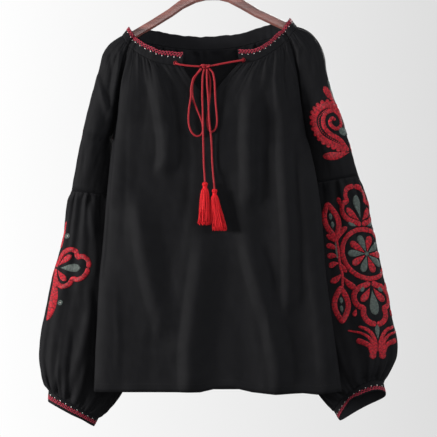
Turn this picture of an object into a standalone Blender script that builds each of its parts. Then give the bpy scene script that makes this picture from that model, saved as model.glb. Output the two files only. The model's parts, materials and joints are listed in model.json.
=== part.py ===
"""A folk blouse on a wooden hanger: gathered neck with a band, raglan balloon sleeves, cuffs, drawstring.

Lengths in the tables are millimetres. X is to the viewer's right, Z is up and the front faces -Y.
The origin is the inner top of the hook, where a rod carries the hanger. Left and right are the viewer's.
"""

import math
from collections import namedtuple

import bmesh
import bpy
import numpy as np
from mathutils import Matrix

MM = 0.001

# Cloth and seams
WALL = 1.5
SEAM_GAP = 0.3
REST_GAP = 0.35
MOST_MITRE = 2.5

# Grid of the panels: columns across or round, intervals down
HALF_FRONT_COLUMNS = 18
BACK_COLUMNS = 28
SLEEVE_COLUMNS = 32
YOKE_ROWS = 7
BODY_ROWS = 11
UPPER_ROWS = 10
LOWER_ROWS = 12
BAND_ROWS = 1
EDGE_CROWDING = 1.35

# Gathers
NECK_WAVES = 6
BACK_WAVES = 9
NECK_GATHER = 2.5
SLEEVE_HEAD_WAVES = 8
SLEEVE_HEAD_GATHER = 1.4
SLEEVE_WAVES = 16
SLEEVE_INNER_GATHER = 0.25
SEAM_TUCK = 0.6
SEAM_TUCK_ROWS = 2.0
ARM_GATHER = 3.4
CUFF_GATHER = 4.6

# Rows over which a gather dies away from its seam, and the share of a row that stays plain at a seam
NECK_DECAY = 3.2
SLEEVE_HEAD_DECAY = 2.0
ARM_DECAY = 2.2
CUFF_DECAY = 2.6
GATHER_FADE = 0.1
SIDE_GATHER_FADE = 0.12
FOLD_FADE = 0.06
BACK_FOLDS_LOW = 0.6
BACK_CROWDING = 0.06

# Body: the underarm line, the hem at the sides and of the back, and the underarm row's shift
UNDERARM_Z = -347.0
HEM_Z = -804.0
BACK_HEM_Z = -801.0
UNDERARM_PARTING = (2.6, 3.0, -1.0)
PARTING_SHARPNESS = 8

# Cord and knot
CORD_RADIUS = 1.8
CORD_STEP = 10.5
KNOT_CENTRE = (-11.7, -45.0, -218.7)
KNOT_HALF = (9.5, 5.5, 5.0)
ROUTE_SAMPLES = 40

# Tassels
TASSEL_STRANDS_ROUND = 12
TASSEL_RADII = (1.4, 3.3, 5.2)
TASSEL_HEAD = 12.4
STRAND_STEPS = 2
STRAND_INSET = 0.32
STRAND_SWELL = 0.35
STRAND_FLARE = 0.7
STRAND_LEAN = 1.3
STRAND_UNEVENNESS = 0.05
HEAD_LEVELS = (0.0, 0.12, 0.35, 0.6, 0.8)

# Hanger
BAR_HALF_DEPTH = 6.0
ARM_HEIGHT = 15.5
CENTRE_EXTRA_HEIGHT = 7.5
CENTRE_REACH = 45.0
BAR_SIDES = 12
BAR_SQUARENESS = 3.0
BAR_TIP = ((0.8, 0.32), (0.4, 0.5))
TIP_SLIMMING = 0.35
TIP_REACH = 14.0
HOOK_WIRE = 2.1
HOOK_RADIUS = 22.0
HOOK_ARC = (-18.0, 196.0)
HOOK_STEM = ((0.0, -64.0), (0.6, -57.0), (4.0, -50.0), (11.0, -42.5), (18.0, -33.5))

Outline = namedtuple("Outline", "outer_x outer_z inner_x inner_z")
YokeDepth = namedtuple("YokeDepth", "outer_y inner_y half_depth open_front open_back pinch")
SleeveDepth = namedtuple("SleeveDepth", "outer_y inner_y half_depth")
Body = namedtuple("Body", "left_x right_x side_y front_y back_y")
Fold = namedtuple("Fold", "x_top z_top x_mid z_mid x_low z_low width height")
Tassel = namedtuple("Tassel", "x y top_z skirt half_width half_depth lean")

# Upper sleeve, a row each from the band to the gathered seam. Above the underarm the inner point is
# the raglan seam, which the open angles place on the row; below it the row is closed.
UPPER_LEFT = [
    Outline(-162.0, -162.0, -150.3, -180.9),
    Outline(-175.5, -170.1, -153.9, -199.8),
    Outline(-188.4, -182.0, -157.5, -219.6),
    Outline(-197.0, -195.0, -161.5, -241.2),
    Outline(-201.2, -214.2, -165.6, -264.6),
    Outline(-207.9, -237.6, -170.1, -289.8),
    Outline(-217.8, -273.6, -174.6, -316.8),
    Outline(-230.4, -322.2, -179.1, -347.0),
    Outline(-235.0, -342.0, -174.6, -369.0),
    Outline(-243.0, -378.0, -167.4, -405.0),
    Outline(-253.8, -441.0, -162.0, -453.6),
]
UPPER_RIGHT = [
    Outline(153.0, -145.8, 138.6, -167.4),
    Outline(166.5, -150.6, 144.0, -187.2),
    Outline(180.6, -159.6, 149.4, -208.8),
    Outline(193.0, -174.6, 153.9, -232.2),
    Outline(201.6, -194.0, 157.5, -257.4),
    Outline(207.0, -225.0, 160.2, -284.4),
    Outline(217.0, -266.4, 162.9, -313.2),
    Outline(234.0, -311.4, 166.0, -347.0),
    Outline(241.2, -333.0, 163.0, -366.0),
    Outline(250.2, -363.6, 156.6, -397.8),
    Outline(264.6, -414.0, 151.2, -433.8),
]
YOKE_DEPTH = [
    YokeDepth(0.0, 0.0, 22.0, 65.0, 112.0, 1.0),
    YokeDepth(0.0, 0.0, 24.0, 60.0, 102.0, 1.0),
    YokeDepth(0.0, 0.0, 25.0, 55.0, 90.0, 1.0),
    YokeDepth(-1.0, 1.0, 26.0, 48.0, 77.0, 1.0),
    YokeDepth(-2.0, 3.0, 27.0, 40.0, 62.0, 1.0),
    YokeDepth(-3.0, 6.0, 27.0, 30.0, 45.0, 1.1),
    YokeDepth(-3.0, 10.0, 27.0, 18.0, 25.0, 1.3),
    YokeDepth(-2.0, 10.0, 26.0, 0.0, 0.0, 1.7),
    YokeDepth(0.0, 24.0, 25.0, 0.0, 0.0, 1.9),
    YokeDepth(6.0, 33.0, 25.0, 0.0, 0.0, 2.0),
    YokeDepth(12.0, 38.0, 25.0, 0.0, 0.0, 2.0),
]

# Lower sleeve, from the gathered seam to the cuff
LOWER_LEFT = [
    Outline(-253.8, -441.0, -162.0, -453.6),
    Outline(-260.1, -460.8, -158.4, -475.2),
    Outline(-265.5, -498.6, -153.0, -514.8),
    Outline(-270.0, -531.0, -149.4, -552.6),
    Outline(-279.9, -567.0, -145.8, -594.0),
    Outline(-289.8, -603.0, -145.8, -635.4),
    Outline(-297.9, -642.6, -146.7, -676.8),
    Outline(-305.1, -678.6, -147.6, -718.2),
    Outline(-311.4, -714.6, -151.2, -757.8),
    Outline(-313.7, -743.4, -157.5, -792.0),
    Outline(-308.7, -774.0, -172.8, -820.8),
    Outline(-302.4, -793.8, -189.9, -840.6),
    Outline(-295.9, -804.6, -207.5, -855.0),
]
LOWER_RIGHT = [
    Outline(264.6, -414.0, 151.2, -433.8),
    Outline(271.8, -435.6, 149.4, -453.6),
    Outline(282.6, -473.4, 147.6, -493.2),
    Outline(292.5, -516.6, 147.6, -538.2),
    Outline(302.4, -563.4, 149.4, -586.8),
    Outline(311.4, -604.8, 153.0, -633.6),
    Outline(320.4, -644.4, 157.5, -676.8),
    Outline(328.5, -680.4, 163.8, -718.2),
    Outline(333.9, -714.6, 171.0, -756.0),
    Outline(333.5, -743.4, 181.8, -788.4),
    Outline(326.9, -761.4, 194.4, -811.8),
    Outline(317.7, -777.6, 208.8, -829.8),
    Outline(310.5, -790.2, 222.3, -841.5),
]
LOWER_DEPTH = [
    SleeveDepth(12.0, 38.0, 25.0),
    SleeveDepth(14.0, 38.5, 26.0),
    SleeveDepth(17.0, 39.0, 26.5),
    SleeveDepth(19.0, 39.5, 27.0),
    SleeveDepth(20.0, 40.0, 27.5),
    SleeveDepth(21.0, 40.0, 28.0),
    SleeveDepth(21.0, 40.0, 28.0),
    SleeveDepth(21.0, 40.0, 28.5),
    SleeveDepth(21.0, 40.0, 28.5),
    SleeveDepth(21.0, 39.0, 28.0),
    SleeveDepth(22.0, 37.0, 27.0),
    SleeveDepth(23.0, 34.0, 25.0),
    SleeveDepth(24.0, 31.0, 22.0),
]
LOWER_PINCH = 2.0
CUFF_PINCH = 1.0
PINCH_FADE_ROWS = 3.0
CUFF_MOUTH = {
    "left": (Outline(-297.2, -824.4, -215.3, -869.4), SleeveDepth(24.0, 31.0, 23.0)),
    "right": (Outline(315.0, -811.8, 232.2, -856.8), SleeveDepth(20.0, 27.0, 29.0)),
}
CUFF_TILT = {"left": 0.0, "right": 28.0}
CUFF_LIFT = {"left": 0.0, "right": 10.0}
TILT_ROWS = 4.0

# Body tube below the underarm, rows equally far apart from the underarm line to the hem
BODY = [
    Body(-179.1, 166.0, 10.0, -38.0, 23.0),
    Body(-183.5, 177.0, -8.0, -38.0, 9.0),
    Body(-187.5, 186.0, -12.0, -38.0, 2.0),
    Body(-191.4, 191.5, -12.0, -37.5, -1.0),
    Body(-194.5, 195.0, -13.0, -37.0, -3.0),
    Body(-198.2, 197.2, -13.0, -37.0, -4.0),
    Body(-202.5, 201.0, -13.0, -36.5, -4.0),
    Body(-205.2, 208.0, -13.0, -36.5, -4.0),
    Body(-207.1, 215.2, -13.0, -36.0, -4.0),
    Body(-209.2, 222.4, -13.0, -36.0, -4.0),
    Body(-211.0, 228.4, -13.0, -36.0, -4.0),
    Body(-212.6, 234.0, -13.0, -36.0, -4.0),
]
SIDE_ROUNDNESS = (4.0, 8.0)
SIDE_FALL = 0.55
HEM_X = (-213.0, -22.0, 11.0, 41.0, 72.0, 113.0, 164.0, 191.0, 234.0)
HEM_DROP = (0.6, 0.6, -6.6, -6.6, 0.6, 5.0, 2.4, 5.3, -0.3)

# Neck seam of the front, from the slit to the raglan seam, and of the back between its raglan seams
FRONT_SEAM_LEFT = [(-53.1, -38.0, -218.7), (-95.4, -37.5, -212.4), (-125.1, -33.0, -199.0)]
FRONT_SEAM_RIGHT = [(49.5, -38.0, -211.5), (79.2, -37.5, -208.0), (110.7, -33.0, -191.0)]
BACK_SEAM = [(100.8, 27.0, -166.5), (47.0, 29.5, -181.0), (-12.6, 30.0, -186.3), (-64.0, 29.5, -183.0),
             (-111.6, 27.0, -175.5)]

# Centre line of the front above the underarm: the two edges of the slit, then one line
SLIT_LEFT = [(-53.1, -218.7), (-42.0, -234.0), (-31.0, -249.0), (-20.0, -264.0), (-9.0, -279.0),
             (-6.0, -301.0), (-3.0, -324.0), (0.0, UNDERARM_Z)]
SLIT_RIGHT = [(49.5, -211.5), (34.0, -228.0), (19.0, -245.0), (5.0, -262.0), (-9.0, -279.0),
              (-6.0, -301.0), (-3.0, -324.0), (0.0, UNDERARM_Z)]
CENTRE_Y = (-38.0, -37.5, -37.5, -37.5, -37.5, -38.0, -38.0, -38.0)

# How far the band's upper edge stands off its seam: slit, two of the front, raglan, over the arm,
# back raglan, the back, and the same again on the other side
BAND_RISE = [
    (-4.0, 0.5, 24.0), (-4.3, 0.0, 21.0), (-9.9, 2.0, 20.0), (-12.2, 5.8, 16.2), (-13.5, 0.0, 13.5),
    (-10.5, -6.5, 15.7), (-2.9, -3.0, 19.5), (0.0, -4.0, 19.3), (0.0, -4.0, 19.3), (3.6, -3.0, 19.5),
    (11.5, -6.5, 14.0), (14.6, 0.0, 12.8), (12.0, 5.5, 16.0), (8.1, 2.0, 20.8), (3.6, 0.0, 23.4),
    (2.7, 0.5, 25.2),
]
BAND_STATIONS = (0.0, 0.333, 0.667, 1.0, 1.5, 2.0, 2.15, 2.4, 2.6, 2.85, 3.0, 3.5, 4.0, 4.333, 4.667, 5.0)

FRONT_FOLDS = [
    Fold(-142.0, -430.0, -131.0, -535.0, -100.0, -720.0, 21.0, 5.0),
    Fold(-29.0, -470.0, -40.0, -610.0, -49.0, -900.0, 22.0, 5.0),
    Fold(-119.0, -205.0, -88.0, -299.0, -79.0, -440.0, 13.0, 3.0),
    Fold(70.0, -225.0, 56.0, -440.0, 108.0, -880.0, 20.0, 6.5),
    Fold(113.0, -235.0, 127.0, -500.0, 110.0, -840.0, 15.0, 5.0),
    Fold(137.0, -215.0, 162.0, -460.0, 212.0, -860.0, 15.0, 6.0),
]
BACK_FOLDS = [
    Fold(-120.0, -230.0, -133.0, -480.0, -118.0, -860.0, 17.0, 4.5),
    Fold(-70.0, -250.0, -64.0, -500.0, -80.0, -800.0, 18.0, 4.0),
    Fold(-8.0, -215.0, -15.0, -430.0, 8.0, -780.0, 17.0, 4.0),
    Fold(52.0, -235.0, 66.0, -520.0, 58.0, -880.0, 19.0, 4.5),
    Fold(112.0, -225.0, 130.0, -450.0, 150.0, -820.0, 17.0, 4.5),
]
SLEEVE_FOLDS = {
    "left": [
        Fold(-221.0, -450.0, -213.0, -520.0, -214.0, -600.0, 13.0, 2.5),
        Fold(-227.0, -610.0, -222.0, -670.0, -260.0, -810.0, 14.0, 3.5),
        Fold(-272.0, -730.0, -279.0, -775.0, -283.0, -815.0, 10.0, 2.5),
    ],
    "right": [
        Fold(238.0, -425.0, 247.0, -500.0, 244.0, -600.0, 13.0, 2.5),
        Fold(277.0, -560.0, 285.0, -660.0, 270.0, -800.0, 14.0, 3.5),
        Fold(301.0, -700.0, 297.0, -750.0, 288.0, -800.0, 11.0, 2.5),
    ],
}

# Routes of the drawstring: from each eyelet to the knot, the two loops of the bow and the two tails
CORDS = {
    "lace_left": [(-65.7, -40.45, -212.5), (-63.0, -43.9, -213.9), (-54.0, -45.6, -216.0),
                  (-42.0, -45.8, -217.6), (-31.0, -45.4, -218.4), (-21.3, -45.0, -218.8)],
    "lace_right": [(56.5, -40.4, -207.0), (53.4, -43.9, -207.8), (44.0, -45.6, -209.3),
                   (30.0, -45.9, -211.7), (16.0, -45.6, -214.3), (6.0, -45.2, -216.3),
                   (-2.1, -45.0, -217.8)],
    "bow_left": [(-18.1, -46.6, -223.3), (-25.6, -47.2, -231.0), (-33.5, -47.2, -241.0),
                 (-37.3, -47.2, -257.0), (-37.8, -47.2, -273.0), (-40.6, -46.8, -290.0),
                 (-42.3, -46.0, -308.0), (-41.4, -45.0, -324.0), (-36.6, -44.2, -337.0),
                 (-27.8, -43.6, -343.8), (-19.6, -43.2, -341.6), (-16.2, -43.0, -332.0),
                 (-18.7, -43.0, -316.0), (-26.0, -43.0, -298.0), (-32.4, -43.0, -282.0),
                 (-35.3, -43.0, -266.0), (-34.9, -43.0, -250.0), (-29.9, -43.0, -236.6),
                 (-19.6, -43.3, -221.8)],
    "bow_right": [(-5.1, -46.7, -222.7), (1.6, -47.2, -231.0), (4.5, -47.0, -246.0),
                  (5.4, -46.6, -264.0), (6.5, -46.0, -284.0), (8.3, -45.2, -303.0),
                  (9.0, -44.6, -318.0), (6.6, -44.0, -329.8), (-0.2, -43.5, -336.4),
                  (-6.6, -43.2, -330.4), (-8.3, -43.0, -317.6), (-7.0, -43.0, -299.7),
                  (-4.7, -43.0, -279.9), (-3.1, -43.0, -261.0), (-3.4, -43.0, -243.0),
                  (-7.1, -43.2, -223.35)],
    "tail_left": [(-13.9, -46.7, -223.85), (-16.5, -47.2, -235.0), (-17.3, -47.0, -254.0),
                  (-17.3, -46.9, -276.0), (-16.7, -47.2, -297.0), (-16.2, -47.4, -315.0),
                  (-16.0, -47.4, -333.0), (-15.8, -46.6, -351.0), (-15.3, -45.6, -372.0),
                  (-14.6, -45.6, -396.0), (-13.4, -47.2, -415.0), (-12.7, -49.0, -426.4)],
    "tail_right": [(-9.0, -47.6, -223.75), (-9.2, -47.7, -237.0), (-8.6, -47.6, -253.0),
                   (-7.3, -47.5, -270.0), (-6.3, -47.5, -286.0), (-5.6, -47.5, -305.0),
                   (-4.6, -47.7, -320.0), (-3.2, -47.8, -333.0), (-1.7, -47.2, -346.0),
                   (-0.6, -46.2, -363.0), (0.2, -45.6, -385.0), (1.6, -46.0, -407.0),
                   (3.2, -47.4, -425.0), (4.4, -49.2, -438.7)],
}
TASSELS = {
    "tassel_left": Tassel(-12.7, -49.7, -426.8, 65.0, 11.6, 6.6, -0.6),
    "tassel_right": Tassel(4.6, -49.9, -439.1, 63.0, 12.4, 6.6, 10.5),
}

# Upper edge of the hanger's arms between the cloth and the centre, from the centre outwards
ARM_TOP_LEFT = [(0.0, -74.0), (-18.0, -76.5), (-38.0, -85.0), (-61.2, -99.2), (-80.0, -113.6),
                (-110.0, -132.6), (-142.2, -151.6)]
ARM_TOP_RIGHT = [(18.0, -76.0), (38.0, -84.2), (60.0, -98.5), (84.6, -113.8), (110.0, -125.6),
                 (133.0, -136.6)]
ARM_REST_ROWS = 3


def through(rows, t):
    """Values at t on a smooth curve through equally spaced rows (Catmull-Rom)."""
    rows = np.asarray(rows, float)
    ends = np.concatenate([[2 * rows[0] - rows[1]], rows, [2 * rows[-1] - rows[-2]]])
    t = np.clip(np.asarray(t, float), 0.0, len(rows) - 1.0)
    i = np.minimum(t.astype(int), len(rows) - 2)
    f = t - i
    before, start, end, after = (ends[i + k] for k in range(4))
    bend = 2 * before - 5 * start + 4 * end - after + f * (3 * (start - end) + after - before)
    return start + 0.5 * f * (end - before + f * bend)


def columns_of(table, t):
    """Every named column of a table at t, as one record of the same kind."""
    return type(table[0])(*(through(column, t) for column in zip(*table)))


def points_through(points, t):
    return np.stack([through(axis, t) for axis in zip(*points)], axis=-1)


def ramp(value):
    value = np.clip(value, 0.0, 1.0)
    return value * value * (3.0 - 2.0 * value)


def fold_height(folds, x, z):
    """Height of the long soft folds at a point of a panel."""
    total = np.zeros(np.broadcast(x, z).shape)
    for fold in folds:
        down = -z
        centre = np.interp(down, [-fold.z_top, -fold.z_mid, -fold.z_low], [fold.x_top, fold.x_mid, fold.x_low])
        along = np.clip((fold.z_top - z) / (fold.z_top - fold.z_low), 0.0, 1.0)
        fade = np.sqrt(np.sin(math.pi * along))
        total = total + fold.height * fade * np.exp(-(((x - centre) / fold.width) ** 2))
    return total


def ring_point(outer, inner, half_depth, tilt, lift, pinch, angle):
    """A point of a sleeve's row: an ellipse from its outer to its inner edge, pinched flat inside."""
    middle = (outer + inner) / 2
    reach = (outer - inner) / 2
    sine = np.sin(angle)
    inside = np.cos(angle) < 0
    swell = np.where(inside, np.sign(sine) * np.abs(sine) ** pinch, sine)
    across = np.array([0.0, math.cos(tilt), -math.sin(tilt)]) * half_depth
    raised = np.array([0.0, 0.0, lift]) * sine[..., None] ** 2
    return middle + reach * np.cos(angle)[..., None] + across * swell[..., None] + raised


def ring_normal(outer, inner, half_depth, angle):
    reach = (outer - inner) / 2
    length = np.linalg.norm(reach)
    out = reach / length * np.cos(angle)[..., None] * half_depth
    out = out + np.array([0.0, 1.0, 0.0]) * np.sin(angle)[..., None] * length
    return out / np.linalg.norm(out, axis=-1, keepdims=True)


def upper_row(side, v, across):
    """The row v of an upper sleeve, at across 0 (front seam) to 1 (back seam)."""
    line = columns_of(UPPER_LEFT if side == "left" else UPPER_RIGHT, v)
    depth = columns_of(YOKE_DEPTH, v)
    front = math.radians(max(float(depth.open_front), 0.0)) if v < YOKE_ROWS else 0.0
    back = math.radians(max(float(depth.open_back), 0.0)) if v < YOKE_ROWS else 0.0
    share = math.cos(front)
    inner_x = (2 * line.inner_x - line.outer_x * (1 - share)) / (1 + share)
    inner_z = (2 * line.inner_z - line.outer_z * (1 - share)) / (1 + share)
    outer = np.array([line.outer_x, depth.outer_y, line.outer_z], float)
    inner = np.array([inner_x, depth.inner_y, inner_z], float)
    angle = -(math.pi - front) + across * (2 * math.pi - front - back)
    points = ring_point(outer, inner, float(depth.half_depth), 0.0, 0.0, float(depth.pinch), angle)
    gather = SLEEVE_HEAD_GATHER * ramp(v) * math.exp(-v / SLEEVE_HEAD_DECAY)
    gather *= ramp((YOKE_ROWS - v) / 2)
    wave = np.cos(2 * math.pi * SLEEVE_HEAD_WAVES * across) * np.sin(angle) ** 2
    wave = wave * ramp(np.minimum(across, 1 - across) / SIDE_GATHER_FADE)
    tuck = SEAM_TUCK * ramp((v - UPPER_ROWS + SEAM_TUCK_ROWS) / SEAM_TUCK_ROWS) * ramp(UPPER_ROWS - v)
    tuck_wave = np.cos(SLEEVE_WAVES * angle) * np.cos(angle / 2) ** 2
    offset = gather * wave - tuck * tuck_wave
    return points + ring_normal(outer, inner, float(depth.half_depth), angle) * offset[..., None]


def lower_row(side, r, across):
    """The row r of a lower sleeve, all the way round from its inner edge by the front."""
    line = columns_of(LOWER_LEFT if side == "left" else LOWER_RIGHT, r)
    depth = columns_of(LOWER_DEPTH, r)
    turn = ramp((r - (LOWER_ROWS - TILT_ROWS)) / TILT_ROWS)
    late = ramp((r - (LOWER_ROWS - PINCH_FADE_ROWS)) / PINCH_FADE_ROWS)
    outer = np.array([line.outer_x, depth.outer_y, line.outer_z], float)
    inner = np.array([line.inner_x, depth.inner_y, line.inner_z], float)
    angle = -math.pi + across * 2 * math.pi
    tilt = math.radians(CUFF_TILT[side]) * turn
    pinch = LOWER_PINCH + (CUFF_PINCH - LOWER_PINCH) * late
    points = ring_point(outer, inner, float(depth.half_depth), tilt, CUFF_LIFT[side] * turn, pinch, angle)
    top = ARM_GATHER * ramp(r) * math.exp(-r / ARM_DECAY)
    low = CUFF_GATHER * ramp(LOWER_ROWS - r) * math.exp(-(LOWER_ROWS - r) / CUFF_DECAY)
    fullness = SLEEVE_INNER_GATHER + (1 - SLEEVE_INNER_GATHER) * np.cos(angle / 2) ** 2
    wave = (top + low) * np.cos(SLEEVE_WAVES * angle) * fullness
    ends = ramp(r / 2.0) * ramp((LOWER_ROWS - r) / 1.5)
    soft = fold_height(SLEEVE_FOLDS[side], points[..., 0], points[..., 2]) * ends * np.abs(np.sin(angle))
    return points + ring_normal(outer, inner, float(depth.half_depth), angle) * (wave + soft)[..., None]


def cuff_row(side, part, across):
    """A row of a cuff: part 0 is the sleeve's last row and 1 the mouth."""
    line, depth = CUFF_MOUTH[side]
    top = lower_row(side, LOWER_ROWS, across)
    outer = np.array([line.outer_x, depth.outer_y, line.outer_z])
    inner = np.array([line.inner_x, depth.inner_y, line.inner_z])
    angle = -math.pi + across * 2 * math.pi
    mouth = ring_point(outer, inner, depth.half_depth, math.radians(CUFF_TILT[side]), CUFF_LIFT[side],
                       CUFF_PINCH, angle)
    return top + (mouth - top) * part


def side_curve(side, face, v):
    """A raglan seam point: the end of the upper sleeve's row v on its front or back."""
    return upper_row(side, v, np.array([0.0 if face == "front" else 1.0]))[0]


def coons(top, low, start, end, u, w):
    """A patch through four edges. u runs from start to end, w from top to low."""
    u = u[None, :, None]
    w = w[:, None, None]
    ruled = (1 - w) * top[None] + w * low[None] + (1 - u) * start[:, None] + u * end[:, None]
    corners = (1 - w) * ((1 - u) * top[0] + u * top[-1]) + w * ((1 - u) * low[0] + u * low[-1])
    return ruled - corners


def rounded_side(share, early):
    """1 in the middle of the body, falling to 0 at its side fold."""
    power = SIDE_ROUNDNESS[0] + (SIDE_ROUNDNESS[1] - SIDE_ROUNDNESS[0]) * early
    return (1 - np.abs(share) ** power) ** SIDE_FALL


def body_points(r, share, face):
    """A row of the body tube below the underarm. share is -1 at the left side and 1 at the right."""
    row = columns_of(BODY, r)
    fraction = r / BODY_ROWS
    x = np.where(share < 0, -share * row.left_x, share * row.right_x)
    depth = row.front_y if face == "front" else row.back_y
    y = row.side_y + (depth - row.side_y) * rounded_side(share, ramp(r / 3.0))
    low = HEM_Z - np.interp(x, HEM_X, HEM_DROP) if face == "front" else BACK_HEM_Z + 0.0 * x
    low = low + (HEM_Z - low) * ramp((np.abs(share) - 0.9) / 0.1)
    z = UNDERARM_Z + (low - UNDERARM_Z) * fraction
    return np.stack([x, y, z], axis=-1)


def yoke_steps(rows):
    """How far down from the neck seam to the underarm line each row of the yoke lies."""
    seam = np.array([side_curve("left", "front", v)[2] for v in rows])
    return (seam - seam[0]) / (seam[-1] - seam[0])


def half_front(side, columns, yoke_rows, body_rows):
    """Half of the front, from its centre line to its edge, rows down from the neck seam to the hem."""
    share = 1 - (1 - np.linspace(0, 1, columns + 1)) ** EDGE_CROWDING
    sign = -1 if side == "left" else 1
    edge = np.array([side_curve(side, "front", v) for v in yoke_rows])
    seam = (FRONT_SEAM_LEFT if side == "left" else FRONT_SEAM_RIGHT) + [tuple(edge[0])]
    top = points_through(seam, share * (len(seam) - 1))
    low = body_points(0.0, sign * share, "front")
    slit = SLIT_LEFT if side == "left" else SLIT_RIGHT
    centre = np.array([(x, y, z) for (x, z), y in zip(slit, CENTRE_Y)])
    centre = points_through(centre, yoke_rows)
    yoke = coons(top, low, centre, edge, share, yoke_steps(yoke_rows))
    rows = [add_front_relief(line, share, v) for line, v in zip(yoke, yoke_rows)]
    for r in body_rows[1:]:
        rows.append(add_front_relief(body_points(r, sign * share, "front"), share, YOKE_ROWS + r))
    return np.array(rows)


def add_front_relief(line, share, row):
    wave = np.cos(2 * math.pi * NECK_WAVES * (1 - (1 - share) ** (1 / EDGE_CROWDING)))
    inside = ramp(share / GATHER_FADE) * ramp((1 - share) / GATHER_FADE)
    gather = NECK_GATHER * ramp(row) * math.exp(-row / NECK_DECAY) * wave * inside
    soft = fold_height(FRONT_FOLDS, line[:, 0], line[:, 2]) * ramp(row / 2.0)
    raised = line.copy()
    raised[:, 1] -= gather + soft * ramp((1 - share) / FOLD_FADE)
    return raised


def front_points(columns=HALF_FRONT_COLUMNS):
    yoke = np.arange(YOKE_ROWS + 1.0)
    body = np.arange(BODY_ROWS + 1.0)
    left = half_front("left", columns, yoke, body)[:, ::-1]
    right = half_front("right", columns, yoke, body)
    return left, right


def back_points(columns=BACK_COLUMNS):
    """The back, columns from its right edge to its left edge."""
    yoke = np.arange(YOKE_ROWS + 1.0)
    share = np.linspace(0, 1, columns + 1)
    share = share - BACK_CROWDING * np.sin(2 * math.pi * share)
    start = np.array([side_curve("right", "back", v) for v in yoke])
    end = np.array([side_curve("left", "back", v) for v in yoke])
    seam = [tuple(start[0])] + BACK_SEAM + [tuple(end[0])]
    top = points_through(seam, share * (len(seam) - 1))
    span = 1 - 2 * share
    low = body_points(0.0, span, "back")
    patch = coons(top, low, start, end, share, yoke_steps(yoke))
    rows = [add_back_relief(line, span, v) for line, v in zip(patch, yoke)]
    for r in range(1, BODY_ROWS + 1):
        rows.append(add_back_relief(body_points(float(r), span, "back"), span, YOKE_ROWS + r))
    return np.array(rows)


def add_back_relief(line, span, row):
    inside = ramp((1 - np.abs(span)) / SIDE_GATHER_FADE)
    wave = np.cos(math.pi * BACK_WAVES * (1 - span))
    gather = NECK_GATHER * ramp(row) * math.exp(-row / NECK_DECAY) * wave
    low = ramp((row - YOKE_ROWS) / 3.0)
    fading = 1 - (1 - BACK_FOLDS_LOW) * low
    soft = fold_height(BACK_FOLDS, line[:, 0], line[:, 2]) * ramp(row / 2.0) * fading
    raised = line.copy()
    raised[:, 1] += (gather + soft) * inside
    return raised


def upper_points(side):
    """An upper sleeve. Its columns run from its front seam on the right, from its back seam on the left."""
    across = np.linspace(0, 1, SLEEVE_COLUMNS + 1)
    across = across if side == "right" else across[::-1]
    return np.array([upper_row(side, float(v), across) for v in range(UPPER_ROWS + 1)])


def lower_points(side):
    across = np.linspace(0, 1, SLEEVE_COLUMNS + 1)
    across = across if side == "right" else across[::-1]
    return np.array([lower_row(side, float(r), across) for r in range(LOWER_ROWS + 1)])


def cuff_points(side):
    across = np.linspace(0, 1, SLEEVE_COLUMNS + 1)
    across = across if side == "right" else across[::-1]
    return np.array([cuff_row(side, k / BAND_ROWS, across) for k in range(BAND_ROWS + 1)])


def band_points(seams):
    """The neckband, from the right edge of the slit round the neck to its left edge."""
    base = np.concatenate([seams[0]] + [seam[1:] for seam in seams[1:]])
    station = np.concatenate([[0.0]] + [k + np.linspace(0, 1, len(seam))[1:] for k, seam in enumerate(seams)])
    rise = np.stack([np.interp(station, BAND_STATIONS, axis) for axis in zip(*BAND_RISE)], axis=-1)
    return np.array([base + rise * (1 - k / BAND_ROWS) for k in range(BAND_ROWS + 1)])


def grid_faces(rows, columns, first=0):
    faces = []
    for i in range(rows - 1):
        for j in range(columns - 1):
            a = first + i * columns + j
            faces.append((a, a + columns, a + columns + 1, a + 1))
    return faces


def welded(grids):
    """One surface from grids that share edge points: its points and faces."""
    points = np.concatenate([grid.reshape(-1, 3) for grid in grids])
    faces = []
    first = 0
    for grid in grids:
        faces += grid_faces(grid.shape[0], grid.shape[1], first)
        first += grid.shape[0] * grid.shape[1]
    _, keep, index = np.unique(np.round(points, 3), axis=0, return_index=True, return_inverse=True)
    index = index.reshape(-1)
    joined = [tuple(dict.fromkeys(int(index[k]) for k in face)) for face in faces]
    return points[keep], [face for face in joined if len(face) > 2]


def key_of(point):
    return tuple(np.round(point, 2) + 0.0)


def face_normals(points, faces):
    normals = []
    for face in faces:
        corner = points[list(face)]
        normal = np.cross(corner[2] - corner[0], corner[-1] - corner[1])
        normals.append(normal / max(np.linalg.norm(normal), 1e-9))
    return normals


def shared_normals(panels):
    """The cloth's direction at every point, the same on both sides of a seam."""
    total = {}
    for points, faces in panels.values():
        for face, normal in zip(faces, face_normals(points, faces)):
            for k in face:
                key = key_of(points[k])
                total[key] = total.get(key, 0.0) + normal
    return {key: value / np.linalg.norm(value) for key, value in total.items()}


def rim_edges(faces):
    """The directed edges that only one face has."""
    edges = {}
    for face in faces:
        for a, b in zip(face, face[1:] + face[:1]):
            edges[(a, b)] = True
    return [edge for edge in edges if (edge[1], edge[0]) not in edges]


def drawn_back(points, normals, rim):
    """The points with the rim drawn back along the cloth, by half the gap at a seam."""
    pull = {}
    for a, b in rim:
        along = points[b] - points[a]
        for k in (a, b):
            inward = np.cross(normals[k], along)
            inward /= max(np.linalg.norm(inward), 1e-9)
            pull.setdefault(k, []).append(inward)
    moved = points.copy()
    for k, directions in pull.items():
        middle = np.sum(directions, axis=0)
        size = np.linalg.norm(middle)
        if size < 1e-6:
            continue
        middle /= size
        spread = max(float(np.dot(middle, directions[0])), 1 / MOST_MITRE)
        moved[k] += middle * SEAM_GAP / 2 / spread
    return moved


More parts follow.
